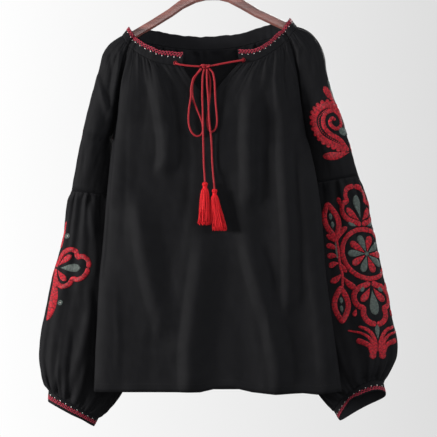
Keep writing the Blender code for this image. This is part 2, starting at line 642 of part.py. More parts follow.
def wall_mesh(name, points, faces, direction):
    """A closed cloth wall on both sides of a surface, with its rim drawn back from the seams."""
    normals = np.array([direction[key_of(point)] for point in points])
    rim = rim_edges(faces)
    middle = drawn_back(points, normals, rim)
    outside = (middle + normals * WALL / 2) * MM
    inside = (middle - normals * WALL / 2) * MM
    count = len(points)
    sides = list(faces)
    sides += [tuple(k + count for k in reversed(face)) for face in faces]
    sides += [(b, a, a + count, b + count) for a, b in rim]
    mesh = bpy.data.meshes.new(name)
    mesh.from_pydata(np.concatenate([outside, inside]).tolist(), [], sides)
    mesh.shade_smooth()
    return mesh


def parted_underarm(grid, side):
    """The upper sleeve with the inner side of its underarm row moved clear of the front and the back."""
    shift = np.array(UNDERARM_PARTING)
    shift[0] *= -1 if side == "left" else 1
    across = np.linspace(0, 1, grid.shape[1])
    near = np.cos(math.pi * across) ** PARTING_SHARPNESS
    grid = grid.copy()
    grid[YOKE_ROWS] += shift * near[:, None]
    return grid


def cloth_panels():
    left, right = front_points()
    back = back_points()
    upper = {side: upper_points(side) for side in ("left", "right")}
    seams = [right[0], upper["right"][0], back[0], upper["left"][0], left[0]]
    panels = {
        "front": welded([left, right]),
        "back": welded([back]),
        "neckband": welded([band_points(seams)]),
    }
    for side in ("left", "right"):
        panels[f"sleeve_upper_{side}"] = welded([parted_underarm(upper[side], side)])
        panels[f"sleeve_lower_{side}"] = welded([lower_points(side)])
        panels[f"cuff_{side}"] = welded([cuff_points(side)])
    return panels


def material(name, colour, roughness, metallic=0.0):
    made = bpy.data.materials.new(name)
    made.use_nodes = True
    shader = made.node_tree.nodes["Principled BSDF"]
    shader.inputs["Base Color"].default_value = (*colour, 1.0)
    shader.inputs["Roughness"].default_value = roughness
    shader.inputs["Metallic"].default_value = metallic
    return made


def place(name, data, look, collection, location=(0.0, 0.0, 0.0)):
    obj = bpy.data.objects.new(name, data)
    obj.location = [value * MM for value in location]
    data.materials.append(look)
    collection.objects.link(obj)
    return obj


def cord_curve(name, route):
    """A round cord along a smooth curve through its route's points."""
    fine = points_through(route, np.linspace(0, len(route) - 1, ROUTE_SAMPLES * len(route)))
    run = np.concatenate([[0.0], np.cumsum(np.linalg.norm(np.diff(fine, axis=0), axis=1))])
    count = max(int(round(run[-1] / CORD_STEP)) + 1, 4)
    places = np.linspace(0, run[-1], count)
    points = np.stack([np.interp(places, run, axis) for axis in fine.T], axis=-1) * MM
    data = bpy.data.curves.new(name, "CURVE")
    data.dimensions = "3D"
    data.bevel_depth = CORD_RADIUS * MM
    data.bevel_resolution = 2
    data.use_fill_caps = True
    spline = data.splines.new("POLY")
    spline.points.add(count - 1)
    for point, place_at in zip(spline.points, points):
        point.co = (*place_at, 1.0)
    spline.use_smooth = True
    return data


def knot_mesh(name):
    bm = bmesh.new()
    bmesh.ops.create_uvsphere(bm, u_segments=14, v_segments=9, radius=MM,
                              matrix=Matrix.Diagonal((*KNOT_HALF, 1.0)))
    mesh = bpy.data.meshes.new(name)
    bm.to_mesh(mesh)
    bm.free()
    mesh.shade_smooth()
    return mesh


def head_radius(part):
    """The tassel head's outline, from 0 at its top to 1 at its foot: a rounded knob with a bound neck."""
    knob = 0.45 + 0.6 * math.sin(math.pi * min(part, 0.86) ** 0.7)
    neck = -0.12 * ramp((part - 0.6) / 0.3)
    foot = 0.56 * ramp((part - 0.75) / 0.25)
    return TASSEL_RADII[-1] * (knob + neck + foot)


def tassel_mesh(name, tassel):
    """A head, and strands drawn down from the faces of its foot."""
    bm = bmesh.new()
    turns = [2 * math.pi * k / TASSEL_STRANDS_ROUND for k in range(TASSEL_STRANDS_ROUND)]

    def ring(radius, z):
        return [bm.verts.new((radius * math.cos(t) * MM, radius * math.sin(t) * MM, z * MM)) for t in turns]

    def join(upper, lower):
        made = []
        for k in range(len(turns)):
            n = (k + 1) % len(turns)
            made.append(bm.faces.new((upper[k], lower[k], lower[n], upper[n])))
        return made

    levels = [(head_radius(part), -TASSEL_HEAD * part) for part in HEAD_LEVELS]
    rings = [ring(radius, z) for radius, z in levels]
    rings += [ring(radius, -TASSEL_HEAD) for radius in reversed(TASSEL_RADII)]
    bm.faces.new(rings[0])
    feet = []
    for k, (upper, lower) in enumerate(zip(rings, rings[1:])):
        made = join(upper, lower)
        if k >= len(levels):
            feet += made
    bm.faces.new(list(reversed(rings[-1])))
    bm.normal_update()
    bmesh.ops.inset_individual(bm, faces=feet, thickness=STRAND_INSET * MM)
    for number, face in enumerate(feet):
        draw_strand(bm, face, tassel, number)
    mesh = bpy.data.meshes.new(name)
    bm.to_mesh(mesh)
    bm.free()
    return mesh


def draw_strand(bm, face, tassel, number):
    """Draws one strand down from a face of the head's foot, spreading as it falls."""
    root = face.calc_center_median() / MM
    spread_x = tassel.half_width / TASSEL_RADII[-1]
    spread_y = tassel.half_depth / TASSEL_RADII[-1]
    length = tassel.skirt * (1.0 - STRAND_UNEVENNESS * (number * 7 % 5) / 4)
    for step in range(1, STRAND_STEPS + 1):
        part = step / STRAND_STEPS
        face = bmesh.ops.extrude_discrete_faces(bm, faces=[face])["faces"][0]
        flare = part ** STRAND_FLARE
        x = root.x * (1 + (spread_x - 1) * flare) + tassel.lean * part ** STRAND_LEAN
        y = root.y * (1 + (spread_y - 1) * flare)
        centre = face.calc_center_median() / MM
        growth = strand_size(step) / strand_size(step - 1)
        for vert in face.verts:
            off = (vert.co / MM - centre) * growth
            vert.co = ((x + off.x) * MM, (y + off.y) * MM, (-TASSEL_HEAD - length * part) * MM)


def strand_size(step):
    return 1.0 + STRAND_SWELL * (step / STRAND_STEPS) ** STRAND_FLARE


def arm_outline():
    """The wooden bar's outline: its upper edge from left to right, then its lower edge back."""
    resting = {}
    for side, table in (("left", UPPER_LEFT), ("right", UPPER_RIGHT)):
        line = np.array([(row.outer_x, row.outer_z) for row in table[: ARM_REST_ROWS + 1]])
        along = np.gradient(line, axis=0)
        normal = np.stack([-along[:, 1], along[:, 0]], axis=-1) / np.linalg.norm(along, axis=1)[:, None]
        normal *= np.sign(normal[:, 1:2])
        resting[side] = (line - normal * (WALL / 2 + REST_GAP))[:ARM_REST_ROWS]
    upper = [tuple(point) for point in resting["left"][::-1]] + ARM_TOP_LEFT[::-1] + ARM_TOP_RIGHT
    upper += [tuple(point) for point in resting["right"]]
    upper = np.array(upper)
    along = np.gradient(upper, axis=0)
    normal = np.stack([along[:, 1], -along[:, 0]], axis=-1) / np.linalg.norm(along, axis=1)[:, None]
    height = ARM_HEIGHT + CENTRE_EXTRA_HEIGHT * np.exp(-((upper[:, 0] / CENTRE_REACH) ** 2))
    ends = np.linspace(0, 1, len(upper))
    near_tip = np.exp(-ends * TIP_REACH) + np.exp((ends - 1) * TIP_REACH)
    height *= 1 - TIP_SLIMMING * near_tip
    lower = upper + normal * height[:, None]
    return upper, lower


def bar_mesh(name):
    """The wooden bar, lofted through upright sections with soft corners and rounded at both tips."""
    upper, lower = arm_outline()
    sections = []
    turns = np.linspace(0, 2 * math.pi, BAR_SIDES, endpoint=False)
    powers = np.abs(np.cos(turns)) ** BAR_SQUARENESS + np.abs(np.sin(turns)) ** BAR_SQUARENESS
    square = powers ** (-1 / BAR_SQUARENESS)
    stations = [(0, -1, shrink, ahead) for shrink, ahead in reversed(BAR_TIP)]
    stations += [(k, 0, 1.0, 0.0) for k in range(len(upper))]
    stations += [(len(upper) - 1, 1, shrink, ahead) for shrink, ahead in BAR_TIP]
    for k, side, shrink, ahead in stations:
        middle = (upper[k] + lower[k]) / 2
        reach = (upper[k] - lower[k]) / 2
        out = np.array([reach[1], -reach[0]]) * side * ahead
        up = np.cos(turns) * square * shrink
        across = np.sin(turns) * square * shrink * BAR_HALF_DEPTH
        sections.append([(middle[0] + out[0] + reach[0] * a, b, middle[1] + out[1] + reach[1] * a)
                         for a, b in zip(up, across)])
    bm = bmesh.new()
    rings = [[bm.verts.new(tuple(value * MM for value in point)) for point in section] for section in sections]
    for ring, following in zip(rings, rings[1:]):
        for k in range(BAR_SIDES):
            n = (k + 1) % BAR_SIDES
            bm.faces.new((ring[k], following[k], following[n], ring[n]))
    bm.faces.new(rings[0])
    bm.faces.new(rings[-1][::-1])
    bmesh.ops.recalc_face_normals(bm, faces=bm.faces)
    mesh = bpy.data.meshes.new(name)
    bm.to_mesh(mesh)
    bm.free()
    mesh.shade_smooth()
    return mesh


def hook_curve(name):
    """The hook's wire: a stem on the bar, a bend to the right and round over the origin."""
    centre_z = HOOK_WIRE - HOOK_RADIUS
    stem = [(0.0, ARM_TOP_LEFT[0][1] + REST_GAP)] + list(HOOK_STEM)
    turns = np.radians(np.linspace(*HOOK_ARC, 14))
    points = stem + [(HOOK_RADIUS * math.cos(t), centre_z + HOOK_RADIUS * math.sin(t)) for t in turns]
    data = bpy.data.curves.new(name, "CURVE")
    data.dimensions = "3D"
    data.bevel_depth = HOOK_WIRE * MM
    data.bevel_resolution = 2
    data.use_fill_caps = True
    spline = data.splines.new("POLY")
    spline.points.add(len(points) - 1)
    for point, (x, z) in zip(spline.points, points):
        point.co = (x * MM, 0.0, z * MM, 1.0)
    return data


def main():
    for obj in list(bpy.data.objects):
        bpy.data.objects.remove(obj, do_unlink=True)
    blouse = bpy.data.collections.new("embroidered_blouse")
    bpy.context.scene.collection.children.link(blouse)
    cloth = material("black cotton", (0.012, 0.013, 0.016), 0.85)
    cord = material("red cord", (0.45, 0.012, 0.02), 0.6)
    wood = material("stained wood", (0.16, 0.05, 0.04), 0.4)
    steel = material("steel", (0.6, 0.6, 0.6), 0.3, 1.0)

    panels = cloth_panels()
    direction = shared_normals(panels)
    for name, (points, faces) in panels.items():
        place(name, wall_mesh(name, points, faces, direction), cloth, blouse)
    for name, route in CORDS.items():
        place(name, cord_curve(name, route), cord, blouse)
    place("knot", knot_mesh("knot"), cord, blouse, KNOT_CENTRE)
    for name, tassel in TASSELS.items():
        place(name, tassel_mesh(name, tassel), cord, blouse, (tassel.x, tassel.y, tassel.top_z))
    place("hanger_bar", bar_mesh("hanger_bar"), wood, blouse)
    place("hanger_hook", hook_curve("hanger_hook"), steel, blouse)


main()
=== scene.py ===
"""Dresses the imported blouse: creased black cotton, satin-stitch flowers, trims, drawstring and tassels."""
import json
import math
from collections import namedtuple

import bpy
import numpy as np
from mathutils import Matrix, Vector

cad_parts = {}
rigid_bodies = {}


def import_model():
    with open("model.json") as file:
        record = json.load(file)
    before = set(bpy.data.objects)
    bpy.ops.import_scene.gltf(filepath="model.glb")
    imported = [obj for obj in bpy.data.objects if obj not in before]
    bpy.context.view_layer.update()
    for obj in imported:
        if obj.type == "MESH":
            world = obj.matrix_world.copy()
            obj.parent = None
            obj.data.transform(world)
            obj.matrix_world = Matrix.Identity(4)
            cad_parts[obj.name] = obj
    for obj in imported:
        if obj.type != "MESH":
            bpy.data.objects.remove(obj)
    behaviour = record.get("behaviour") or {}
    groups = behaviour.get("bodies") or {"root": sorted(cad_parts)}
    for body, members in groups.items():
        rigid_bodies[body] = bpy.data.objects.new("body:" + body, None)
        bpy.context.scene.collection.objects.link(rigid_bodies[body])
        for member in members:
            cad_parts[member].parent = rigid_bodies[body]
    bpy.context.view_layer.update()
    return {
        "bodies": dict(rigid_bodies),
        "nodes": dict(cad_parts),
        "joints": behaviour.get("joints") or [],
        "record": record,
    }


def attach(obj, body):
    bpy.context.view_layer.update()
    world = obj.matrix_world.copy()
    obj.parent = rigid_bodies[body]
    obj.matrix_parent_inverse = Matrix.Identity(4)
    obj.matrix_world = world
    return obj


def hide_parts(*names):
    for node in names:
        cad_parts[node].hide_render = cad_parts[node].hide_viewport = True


MM = 0.001
SIDES = ("left", "right")

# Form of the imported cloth: rows and columns of its pieces, gathers in millimetres and how they fade
HALF_FRONT_COLUMNS = 18
BACK_COLUMNS = 28
SLEEVE_COLUMNS = 32
YOKE_ROWS = 7
BODY_ROWS = 11
UPPER_ROWS = 10
LOWER_ROWS = 12
EDGE_CROWDING = 1.35
NECK_WAVES = 6
BACK_WAVES = 9
NECK_GATHER = 2.5
SLEEVE_HEAD_WAVES = 8
SLEEVE_HEAD_GATHER = 1.4
SLEEVE_WAVES = 16
SLEEVE_INNER_GATHER = 0.25
SEAM_TUCK = 0.6
SEAM_TUCK_ROWS = 2
ARM_GATHER = 3.4
CUFF_GATHER = 4.6
NECK_DECAY = 3.2
SLEEVE_HEAD_DECAY = 2
ARM_DECAY = 2.2
CUFF_DECAY = 2.6
GATHER_FADE = 0.1
SIDE_GATHER_FADE = 0.12
FOLD_FADE = 0.06
BACK_FOLDS_LOW = 0.6
BACK_CROWDING = 0.06
UNDERARM_Z = -347
HEM_Z = -804
BACK_HEM_Z = -801
UNDERARM_PARTING = (2.6, 3, -1)
PARTING_SHARPNESS = 8

# Drawstring, its knot and its tassels
CORD_RADIUS = 1.8
KNOT_CENTRE = (-11.7, -45, -218.7)
KNOT_HALF = (9.5, 5.5, 5)
TASSEL_WIDE = 5.2
TASSEL_HEAD = 12.4

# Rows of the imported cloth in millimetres, from the neck down, and its long soft folds
Outline = namedtuple("Outline", "outer_x outer_z inner_x inner_z")
YokeDepth = namedtuple("YokeDepth", "outer_y inner_y half_depth open_front open_back pinch")
SleeveDepth = namedtuple("SleeveDepth", "outer_y inner_y half_depth")
Body = namedtuple("Body", "left_x right_x side_y front_y back_y")
Fold = namedtuple("Fold", "x_top z_top x_mid z_mid x_low z_low width height")
Tassel = namedtuple("Tassel", "x y top_z skirt half_width half_depth lean")
UPPER_LEFT = [Outline(*row) for row in (
    (-162, -162, -150.3, -180.9), (-175.5, -170.1, -153.9, -199.8), (-188.4, -182, -157.5, -219.6),
    (-197, -195, -161.5, -241.2), (-201.2, -214.2, -165.6, -264.6), (-207.9, -237.6, -170.1, -289.8),
    (-217.8, -273.6, -174.6, -316.8), (-230.4, -322.2, -179.1, -347), (-235, -342, -174.6, -369),
    (-243, -378, -167.4, -405), (-253.8, -441, -162, -453.6),
)]
UPPER_RIGHT = [Outline(*row) for row in (
    (153, -145.8, 138.6, -167.4), (166.5, -150.6, 144, -187.2), (180.6, -159.6, 149.4, -208.8),
    (193, -174.6, 153.9, -232.2), (201.6, -194, 157.5, -257.4), (207, -225, 160.2, -284.4),
    (217, -266.4, 162.9, -313.2), (234, -311.4, 166, -347), (241.2, -333, 163, -366),
    (250.2, -363.6, 156.6, -397.8), (264.6, -414, 151.2, -433.8),
)]
YOKE_DEPTH = [YokeDepth(*row) for row in (
    (0, 0, 22, 65, 112, 1), (0, 0, 24, 60, 102, 1), (0, 0, 25, 55, 90, 1), (-1, 1, 26, 48, 77, 1),
    (-2, 3, 27, 40, 62, 1), (-3, 6, 27, 30, 45, 1.1), (-3, 10, 27, 18, 25, 1.3), (-2, 10, 26, 0, 0, 1.7),
    (0, 24, 25, 0, 0, 1.9), (6, 33, 25, 0, 0, 2), (12, 38, 25, 0, 0, 2),
)]
LOWER_LEFT = [Outline(*row) for row in (
    (-253.8, -441, -162, -453.6), (-260.1, -460.8, -158.4, -475.2), (-265.5, -498.6, -153, -514.8),
    (-270, -531, -149.4, -552.6), (-279.9, -567, -145.8, -594), (-289.8, -603, -145.8, -635.4),
    (-297.9, -642.6, -146.7, -676.8), (-305.1, -678.6, -147.6, -718.2), (-311.4, -714.6, -151.2, -757.8),
    (-313.7, -743.4, -157.5, -792), (-308.7, -774, -172.8, -820.8), (-302.4, -793.8, -189.9, -840.6),
    (-295.9, -804.6, -207.5, -855),
)]
LOWER_RIGHT = [Outline(*row) for row in (
    (264.6, -414, 151.2, -433.8), (271.8, -435.6, 149.4, -453.6), (282.6, -473.4, 147.6, -493.2),
    (292.5, -516.6, 147.6, -538.2), (302.4, -563.4, 149.4, -586.8), (311.4, -604.8, 153, -633.6),
    (320.4, -644.4, 157.5, -676.8), (328.5, -680.4, 163.8, -718.2), (333.9, -714.6, 171, -756),
    (333.5, -743.4, 181.8, -788.4), (326.9, -761.4, 194.4, -811.8), (317.7, -777.6, 208.8, -829.8),
    (310.5, -790.2, 222.3, -841.5),
)]
LOWER_DEPTH = [SleeveDepth(*row) for row in (
    (12, 38, 25), (14, 38.5, 26), (17, 39, 26.5), (19, 39.5, 27), (20, 40, 27.5), (21, 40, 28),
    (21, 40, 28), (21, 40, 28.5), (21, 40, 28.5), (21, 39, 28), (22, 37, 27), (23, 34, 25), (24, 31, 22),
)]
LOWER_PINCH = 2
CUFF_PINCH = 1
PINCH_FADE_ROWS = 3
CUFF_MOUTH = {
    "left": (Outline(-297.2, -824.4, -215.3, -869.4), SleeveDepth(24, 31, 23)),
    "right": (Outline(315, -811.8, 232.2, -856.8), SleeveDepth(20, 27, 29)),
}
CUFF_TILT = {"left": 0, "right": 28}
CUFF_LIFT = {"left": 0, "right": 10}
TILT_ROWS = 4
BODY = [Body(*row) for row in (
    (-179.1, 166, 10, -38, 23), (-183.5, 177, -8, -38, 9), (-187.5, 186, -12, -38, 2),
    (-191.4, 191.5, -12, -37.5, -1), (-194.5, 195, -13, -37, -3), (-198.2, 197.2, -13, -37, -4),
    (-202.5, 201, -13, -36.5, -4), (-205.2, 208, -13, -36.5, -4), (-207.1, 215.2, -13, -36, -4),
    (-209.2, 222.4, -13, -36, -4), (-211, 228.4, -13, -36, -4), (-212.6, 234, -13, -36, -4),
)]
SIDE_ROUNDNESS = (4, 8)
SIDE_FALL = 0.55
HEM_X = (-213, -22, 11, 41, 72, 113, 164, 191, 234)
HEM_DROP = (0.6, 0.6, -6.6, -6.6, 0.6, 5, 2.4, 5.3, -0.3)
FRONT_SEAM_LEFT = [(-53.1, -38, -218.7), (-95.4, -37.5, -212.4), (-125.1, -33, -199)]
FRONT_SEAM_RIGHT = [(49.5, -38, -211.5), (79.2, -37.5, -208), (110.7, -33, -191)]
BACK_SEAM = [
    (100.8, 27, -166.5), (47, 29.5, -181), (-12.6, 30, -186.3), (-64, 29.5, -183), (-111.6, 27, -175.5),
]
SLIT_LEFT = [
    (-53.1, -218.7), (-42, -234), (-31, -249), (-20, -264), (-9, -279), (-6, -301), (-3, -324),
    (0, UNDERARM_Z),
]
SLIT_RIGHT = [
    (49.5, -211.5), (34, -228), (19, -245), (5, -262), (-9, -279), (-6, -301), (-3, -324), (0, UNDERARM_Z),
]
CENTRE_Y = (-38, -37.5, -37.5, -37.5, -37.5, -38, -38, -38)
BAND_RISE = [
    (-4, 0.5, 24), (-4.3, 0, 21), (-9.9, 2, 20), (-12.2, 5.8, 16.8), (-13.5, 0, 15), (-10.5, -6.5, 19),
    (-2.9, -3, 25), (0, -4, 24.4), (0, -4, 24.6), (3.6, -3, 25.2), (11.5, -6.5, 18), (12.6, 0, 14.6),
    (11.4, 5.5, 17.4), (8.1, 2, 20.8), (3.6, 0, 23.4), (2.7, 0.5, 25.2),
]
BAND_STATIONS = (0, 0.333, 0.667, 1, 1.5, 2, 2.15, 2.4, 2.6, 2.85, 3, 3.5, 4, 4.333, 4.667, 5)
FRONT_FOLDS = [Fold(*row) for row in (
    (-142, -430, -131, -535, -100, -720, 21, 5), (-29, -470, -40, -610, -49, -900, 22, 5),
    (-119, -205, -88, -299, -79, -440, 13, 3), (70, -225, 56, -440, 108, -880, 20, 6.5),
    (113, -235, 127, -500, 110, -840, 15, 5), (137, -215, 162, -460, 212, -860, 15, 6),
)]
BACK_FOLDS = [Fold(*row) for row in (
    (-120, -230, -133, -480, -118, -860, 17, 4.5), (-70, -250, -64, -500, -80, -800, 18, 4),
    (-8, -215, -15, -430, 8, -780, 17, 4), (52, -235, 66, -520, 58, -880, 19, 4.5),
    (112, -225, 130, -450, 150, -820, 17, 4.5),
)]
SLEEVE_FOLDS = {
    "left": [Fold(*row) for row in (
        (-221, -450, -213, -520, -214, -600, 13, 2.5), (-227, -610, -222, -670, -260, -810, 14, 3.5),
        (-272, -730, -279, -775, -283, -815, 10, 2.5),
    )],
    "right": [Fold(*row) for row in (
        (238, -425, 247, -500, 244, -600, 13, 2.5), (277, -560, 285, -660, 270, -800, 14, 3.5),
        (301, -700, 297, -750, 288, -800, 11, 2.5),
    )],
}
CORDS = {
    "lace_left": [
        (-65.7, -40.45, -212.5), (-63, -43.9, -213.9), (-54, -45.6, -216), (-42, -45.8, -217.6),
        (-31, -45.4, -218.4), (-21.3, -45, -218.8),
    ],
    "lace_right": [
        (56.5, -40.4, -207), (53.4, -43.9, -207.8), (44, -45.6, -209.3), (30, -45.9, -211.7),
        (16, -45.6, -214.3), (6, -45.2, -216.3), (-2.1, -45, -217.8),
    ],
    "bow_left": [
        (-18.1, -46.6, -223.3), (-25.6, -47.2, -231), (-33.5, -47.2, -241), (-37.3, -47.2, -257),
        (-37.8, -47.2, -273), (-40.6, -46.8, -290), (-42.3, -46, -308), (-41.4, -45, -324),
        (-36.6, -44.2, -337), (-27.8, -43.6, -343.8), (-19.6, -43.2, -341.6), (-16.2, -43, -332),
        (-18.7, -43, -316), (-26, -43, -298), (-32.4, -43, -282), (-35.3, -43, -266), (-34.9, -43, -250),
        (-29.9, -43, -236.6), (-19.6, -43.3, -221.8),
    ],
    "bow_right": [
        (-5.1, -46.7, -222.7), (1.6, -47.2, -231), (4.5, -47, -246), (5.4, -46.6, -264), (6.5, -46, -284),
        (8.3, -45.2, -303), (9, -44.6, -318), (6.6, -44, -329.8), (-0.2, -43.5, -336.4),
        (-6.6, -43.2, -330.4), (-8.3, -43, -317.6), (-7, -43, -299.7), (-4.7, -43, -279.9),
        (-3.1, -43, -261), (-3.4, -43, -243), (-7.1, -43.2, -223.35),
    ],
    "tail_left": [
        (-13.9, -46.7, -223.85), (-16.5, -47.2, -235), (-17.3, -47, -254), (-17.3, -46.9, -276),
        (-16.7, -47.2, -297), (-16.2, -47.4, -315), (-16, -47.4, -333), (-15.8, -46.6, -351),
        (-15.3, -45.6, -372), (-14.6, -45.6, -396), (-13.4, -47.2, -415), (-12.7, -49, -426.4),
    ],
    "tail_right": [
        (-9, -47.6, -223.75), (-9.2, -47.7, -237), (-8.6, -47.6, -253), (-7.3, -47.5, -270),
        (-6.3, -47.5, -286), (-5.6, -47.5, -305), (-4.6, -47.7, -320), (-3.2, -47.8, -333),
        (-1.7, -47.2, -346), (-0.6, -46.2, -363), (0.2, -45.6, -385), (1.6, -46, -407), (3.2, -47.4, -425),
        (4.4, -49.2, -438.7),
    ],
}
TASSELS = {
    "tassel_left": Tassel(-12.7, -49.7, -426.8, 65, 11.6, 6.6, -0.6),
    "tassel_right": Tassel(4.6, -49.9, -439.1, 63, 12.4, 6.6, 10.5),
}

# Fine grid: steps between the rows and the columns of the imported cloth, and the shell round it
COLUMN_STEPS = 5
ROW_STEPS = 6
YOKE_STEPS = 7
BAND_FINE_ROWS = 10
CUFF_FINE_ROWS = 14
CLOTH_OUT = 0.75
CLOTH_IN = -0.1
SLIT_ROW = 4

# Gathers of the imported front: their depth, and how many rows they reach down
FRONT_GATHER = 1.6
FRONT_DECAY = 1.5

# Seam gathers of each piece: how many run along it, how far they reach, where they start, their height
Gather = namedtuple("Gather", "seed count reach start height")
SEAM_GATHERS = {
    "front_left": [Gather(3, 15, 22, 4, 1), Gather(13, 8, 44, 8, 0.75)],
    "front_right": [Gather(4, 15, 22, 4, 1), Gather(14, 8, 44, 8, 0.75)],
    "back": [Gather(31, 27, 36, 4, 0.95), Gather(32, 16, 90, 8, 0.8)],
    "arm_head": [Gather(51, 17, 26, 3, 0.8)],
    "arm_tucks": [Gather(52, 38, 9, 2, 0.35)],
    "puff_top": [Gather(61, 34, 20, 2.5, 1), Gather(62, 15, 55, 8, 1.5)],
    "puff_foot": [Gather(63, 36, 16, 2.5, 1.1), Gather(64, 17, 52, 8, 2.4)],
}

# Unevenness of hanging cloth, broad then fine: its length across and along, and its height
Waves = namedtuple("Waves", "seed across along height")
WAVE_COUNT = 16
WAVE_SLANTS = (3, -2)
HANGING_WAVES = {
    "front": [Waves(21, 80, 240, 0.5), Waves(22, 26, 60, 0.1)],
    "back": [Waves(41, 66, 200, 0.85), Waves(42, 24, 60, 0.16)],
    "upper": [Waves(53, 50, 110, 0.55), Waves(54, 20, 40, 0.14)],
    "lower": [Waves(65, 55, 130, 0.8), Waves(66, 22, 50, 0.16)],
}
BAND_WAVER = Waves(83, 26, 60, 0.7)
CLOTH_FADE = 60

# Puckers round the cuffs and the neckband, and their folded rims
CUFF_PUCKERS = 30
CUFF_PUCKER_HEIGHT = 0.22
CUFF_RIM = 0.35
BAND_PUCKERS = 96
BAND_PUCKER_HEIGHT = 0.2
BAND_FOLD = 0.4

# Where relief fades out: at a panel's side, at the slit and below it, and at a sleeve's open seam.
# The share of a lower sleeve's creases that its rear keeps
SIDE_EDGE = 0.05
BACK_EDGE = 0.04
SLIT_EDGE = 0.04
SLIT_DEPTH = 75
SLIT_FADE = 30
ARM_EDGE = 0.06
ARM_JOIN = 0.6
ARM_JOIN_FADE = 1.2
REAR_CREASES = 0.25

# The hem's turned-up layer, and the ridge along a side seam: height, place in from the edge, width
HEM_STEP = 0.5
HEM_DEPTH = 17
HEM_SLOPE = 1.5
SEAM_RIDGE = (2.4, 10, 3.4)

# Where a cuff's front mouth is pushed up: place, width and rise
CUFF_LIFTS = {"left": [(-236, 12, 1.5)], "right": [(251, 13, 7)]}

# Creases and pleats as x and z, those of the front as seen in the photo. Valleys have negative heights.
# A pleat rises over its line towards the viewer's right and falls away more slowly beyond it.
Crease = namedtuple("Crease", "points width height")
Pleat = namedtuple("Pleat", "points rise fall height")
FRONT_PLEATS = [Pleat(*row) for row in (
    ([(-150, -160), (-154, -205), (-160, -262), (-168, -325), (-176, -400), (-184, -480)], 4, 44, 10),
    ([(-122, -205), (-110, -250), (-100, -300), (-93, -345), (-93, -385), (-106, -420)], 9, 26, 9),
    ([(-143, -425), (-140, -500), (-132, -560), (-120, -615), (-106, -665), (-94, -715)], 11, 42, 8.5),
    ([(-24, -480), (-30, -550), (-38, -610), (-45, -665), (-52, -725), (-52, -830)], 12, 54, 10.5),
    ([(62, -240), (56, -300), (55, -360), (58, -440), (54, -480)], 11, 22, 9),
    ([(112, -190), (116, -260), (118, -330), (123, -430), (129, -520), (129, -600), (124, -700)], 8, 24, 8.5),
    ([(46, -505), (58, -565), (72, -612), (88, -665), (106, -745), (112, -830)], 10, 32, 10),
    ([(138, -225), (147, -300), (155, -380), (172, -480), (184, -590), (194, -700), (201, -820)], 14, 18, 8),
    ([(-196, -560), (-203, -680), (-209, -820)], 5, 44, 6),
    ([(16, -270), (8, -340), (10, -420)], 14, 30, 3),
    ([(-68, -560), (-76, -640), (-84, -760)], 16, 40, 2.5),
)]
FRONT_CREASES = [Crease(*row) for row in (
    ([(-124, -189), (-105, -214), (-96, -241), (-88, -268), (-76, -299), (-79, -396)], 4.5, 2.4),
    ([(-119, -214), (-108, -244), (-99, -272), (-93, -300)], 5, -1.4),
    ([(96, -240), (94, -320), (92, -400), (84, -470)], 10, -2.6),
    ([(79, -212), (72, -232), (68, -260)], 4, 1.6), ([(97, -200), (97, -226), (93, -262)], 4, 1.7),
    ([(117, -196), (113, -240), (118, -300)], 3.6, 2.2),
    ([(131, -178), (127, -220), (130, -262), (139, -330)], 4, -1.6),
    ([(-45, -315), (-40, -387), (-44, -460), (-60, -560)], 8, -1.8),
    ([(100, -660), (101, -747), (98, -800)], 8, 2.2), ([(-150, -300), (-155, -420), (-160, -560)], 6, -1.5),
    ([(-172, -620), (-168, -720), (-171, -800)], 6, 1.6),
    ([(-100, -640), (-112, -720), (-110, -800)], 9, -1.5),
    ([(198, -560), (214, -680), (222, -790)], 6, -1.8), ([(20, -300), (12, -360), (16, -430)], 9, 1.3),
    ([(-160, -362), (-120, -385), (-70, -396)], 9, 1.1), ([(158, -352), (120, -372), (80, -380)], 9, 1),
    ([(-60, -520), (-100, -540), (-150, -536)], 10, 0.8),
)]
BACK_CREASES = [Crease(*row) for row in (
    ([(-150, -330), (-160, -470), (-150, -640)], 8, 1.8),
    ([(-98, -230), (-92, -340), (-100, -430), (-92, -560)], 7, 1.9),
    ([(-40, -210), (-36, -300), (-42, -420)], 6, 1.8),
    ([(30, -215), (26, -330), (34, -460), (28, -600)], 7, 2),
    ([(85, -220), (92, -320), (88, -440)], 6.5, 1.9), ([(150, -330), (158, -480), (176, -650)], 8, 1.8),
    ([(0, -480), (-8, -600), (4, -740)], 9, -1.8), ([(100, -500), (108, -640), (120, -780)], 9, 2),
    ([(-120, -600), (-128, -700), (-122, -790)], 9, -1.7),
    ([(190, -600), (206, -720), (212, -790)], 7, 1.5), ([(-70, -620), (-60, -720), (-66, -795)], 8, 1.6),
    ([(-165, -372), (-110, -398), (-40, -392)], 10, 1), ([(160, -370), (110, -396), (50, -402)], 10, 1),
)]
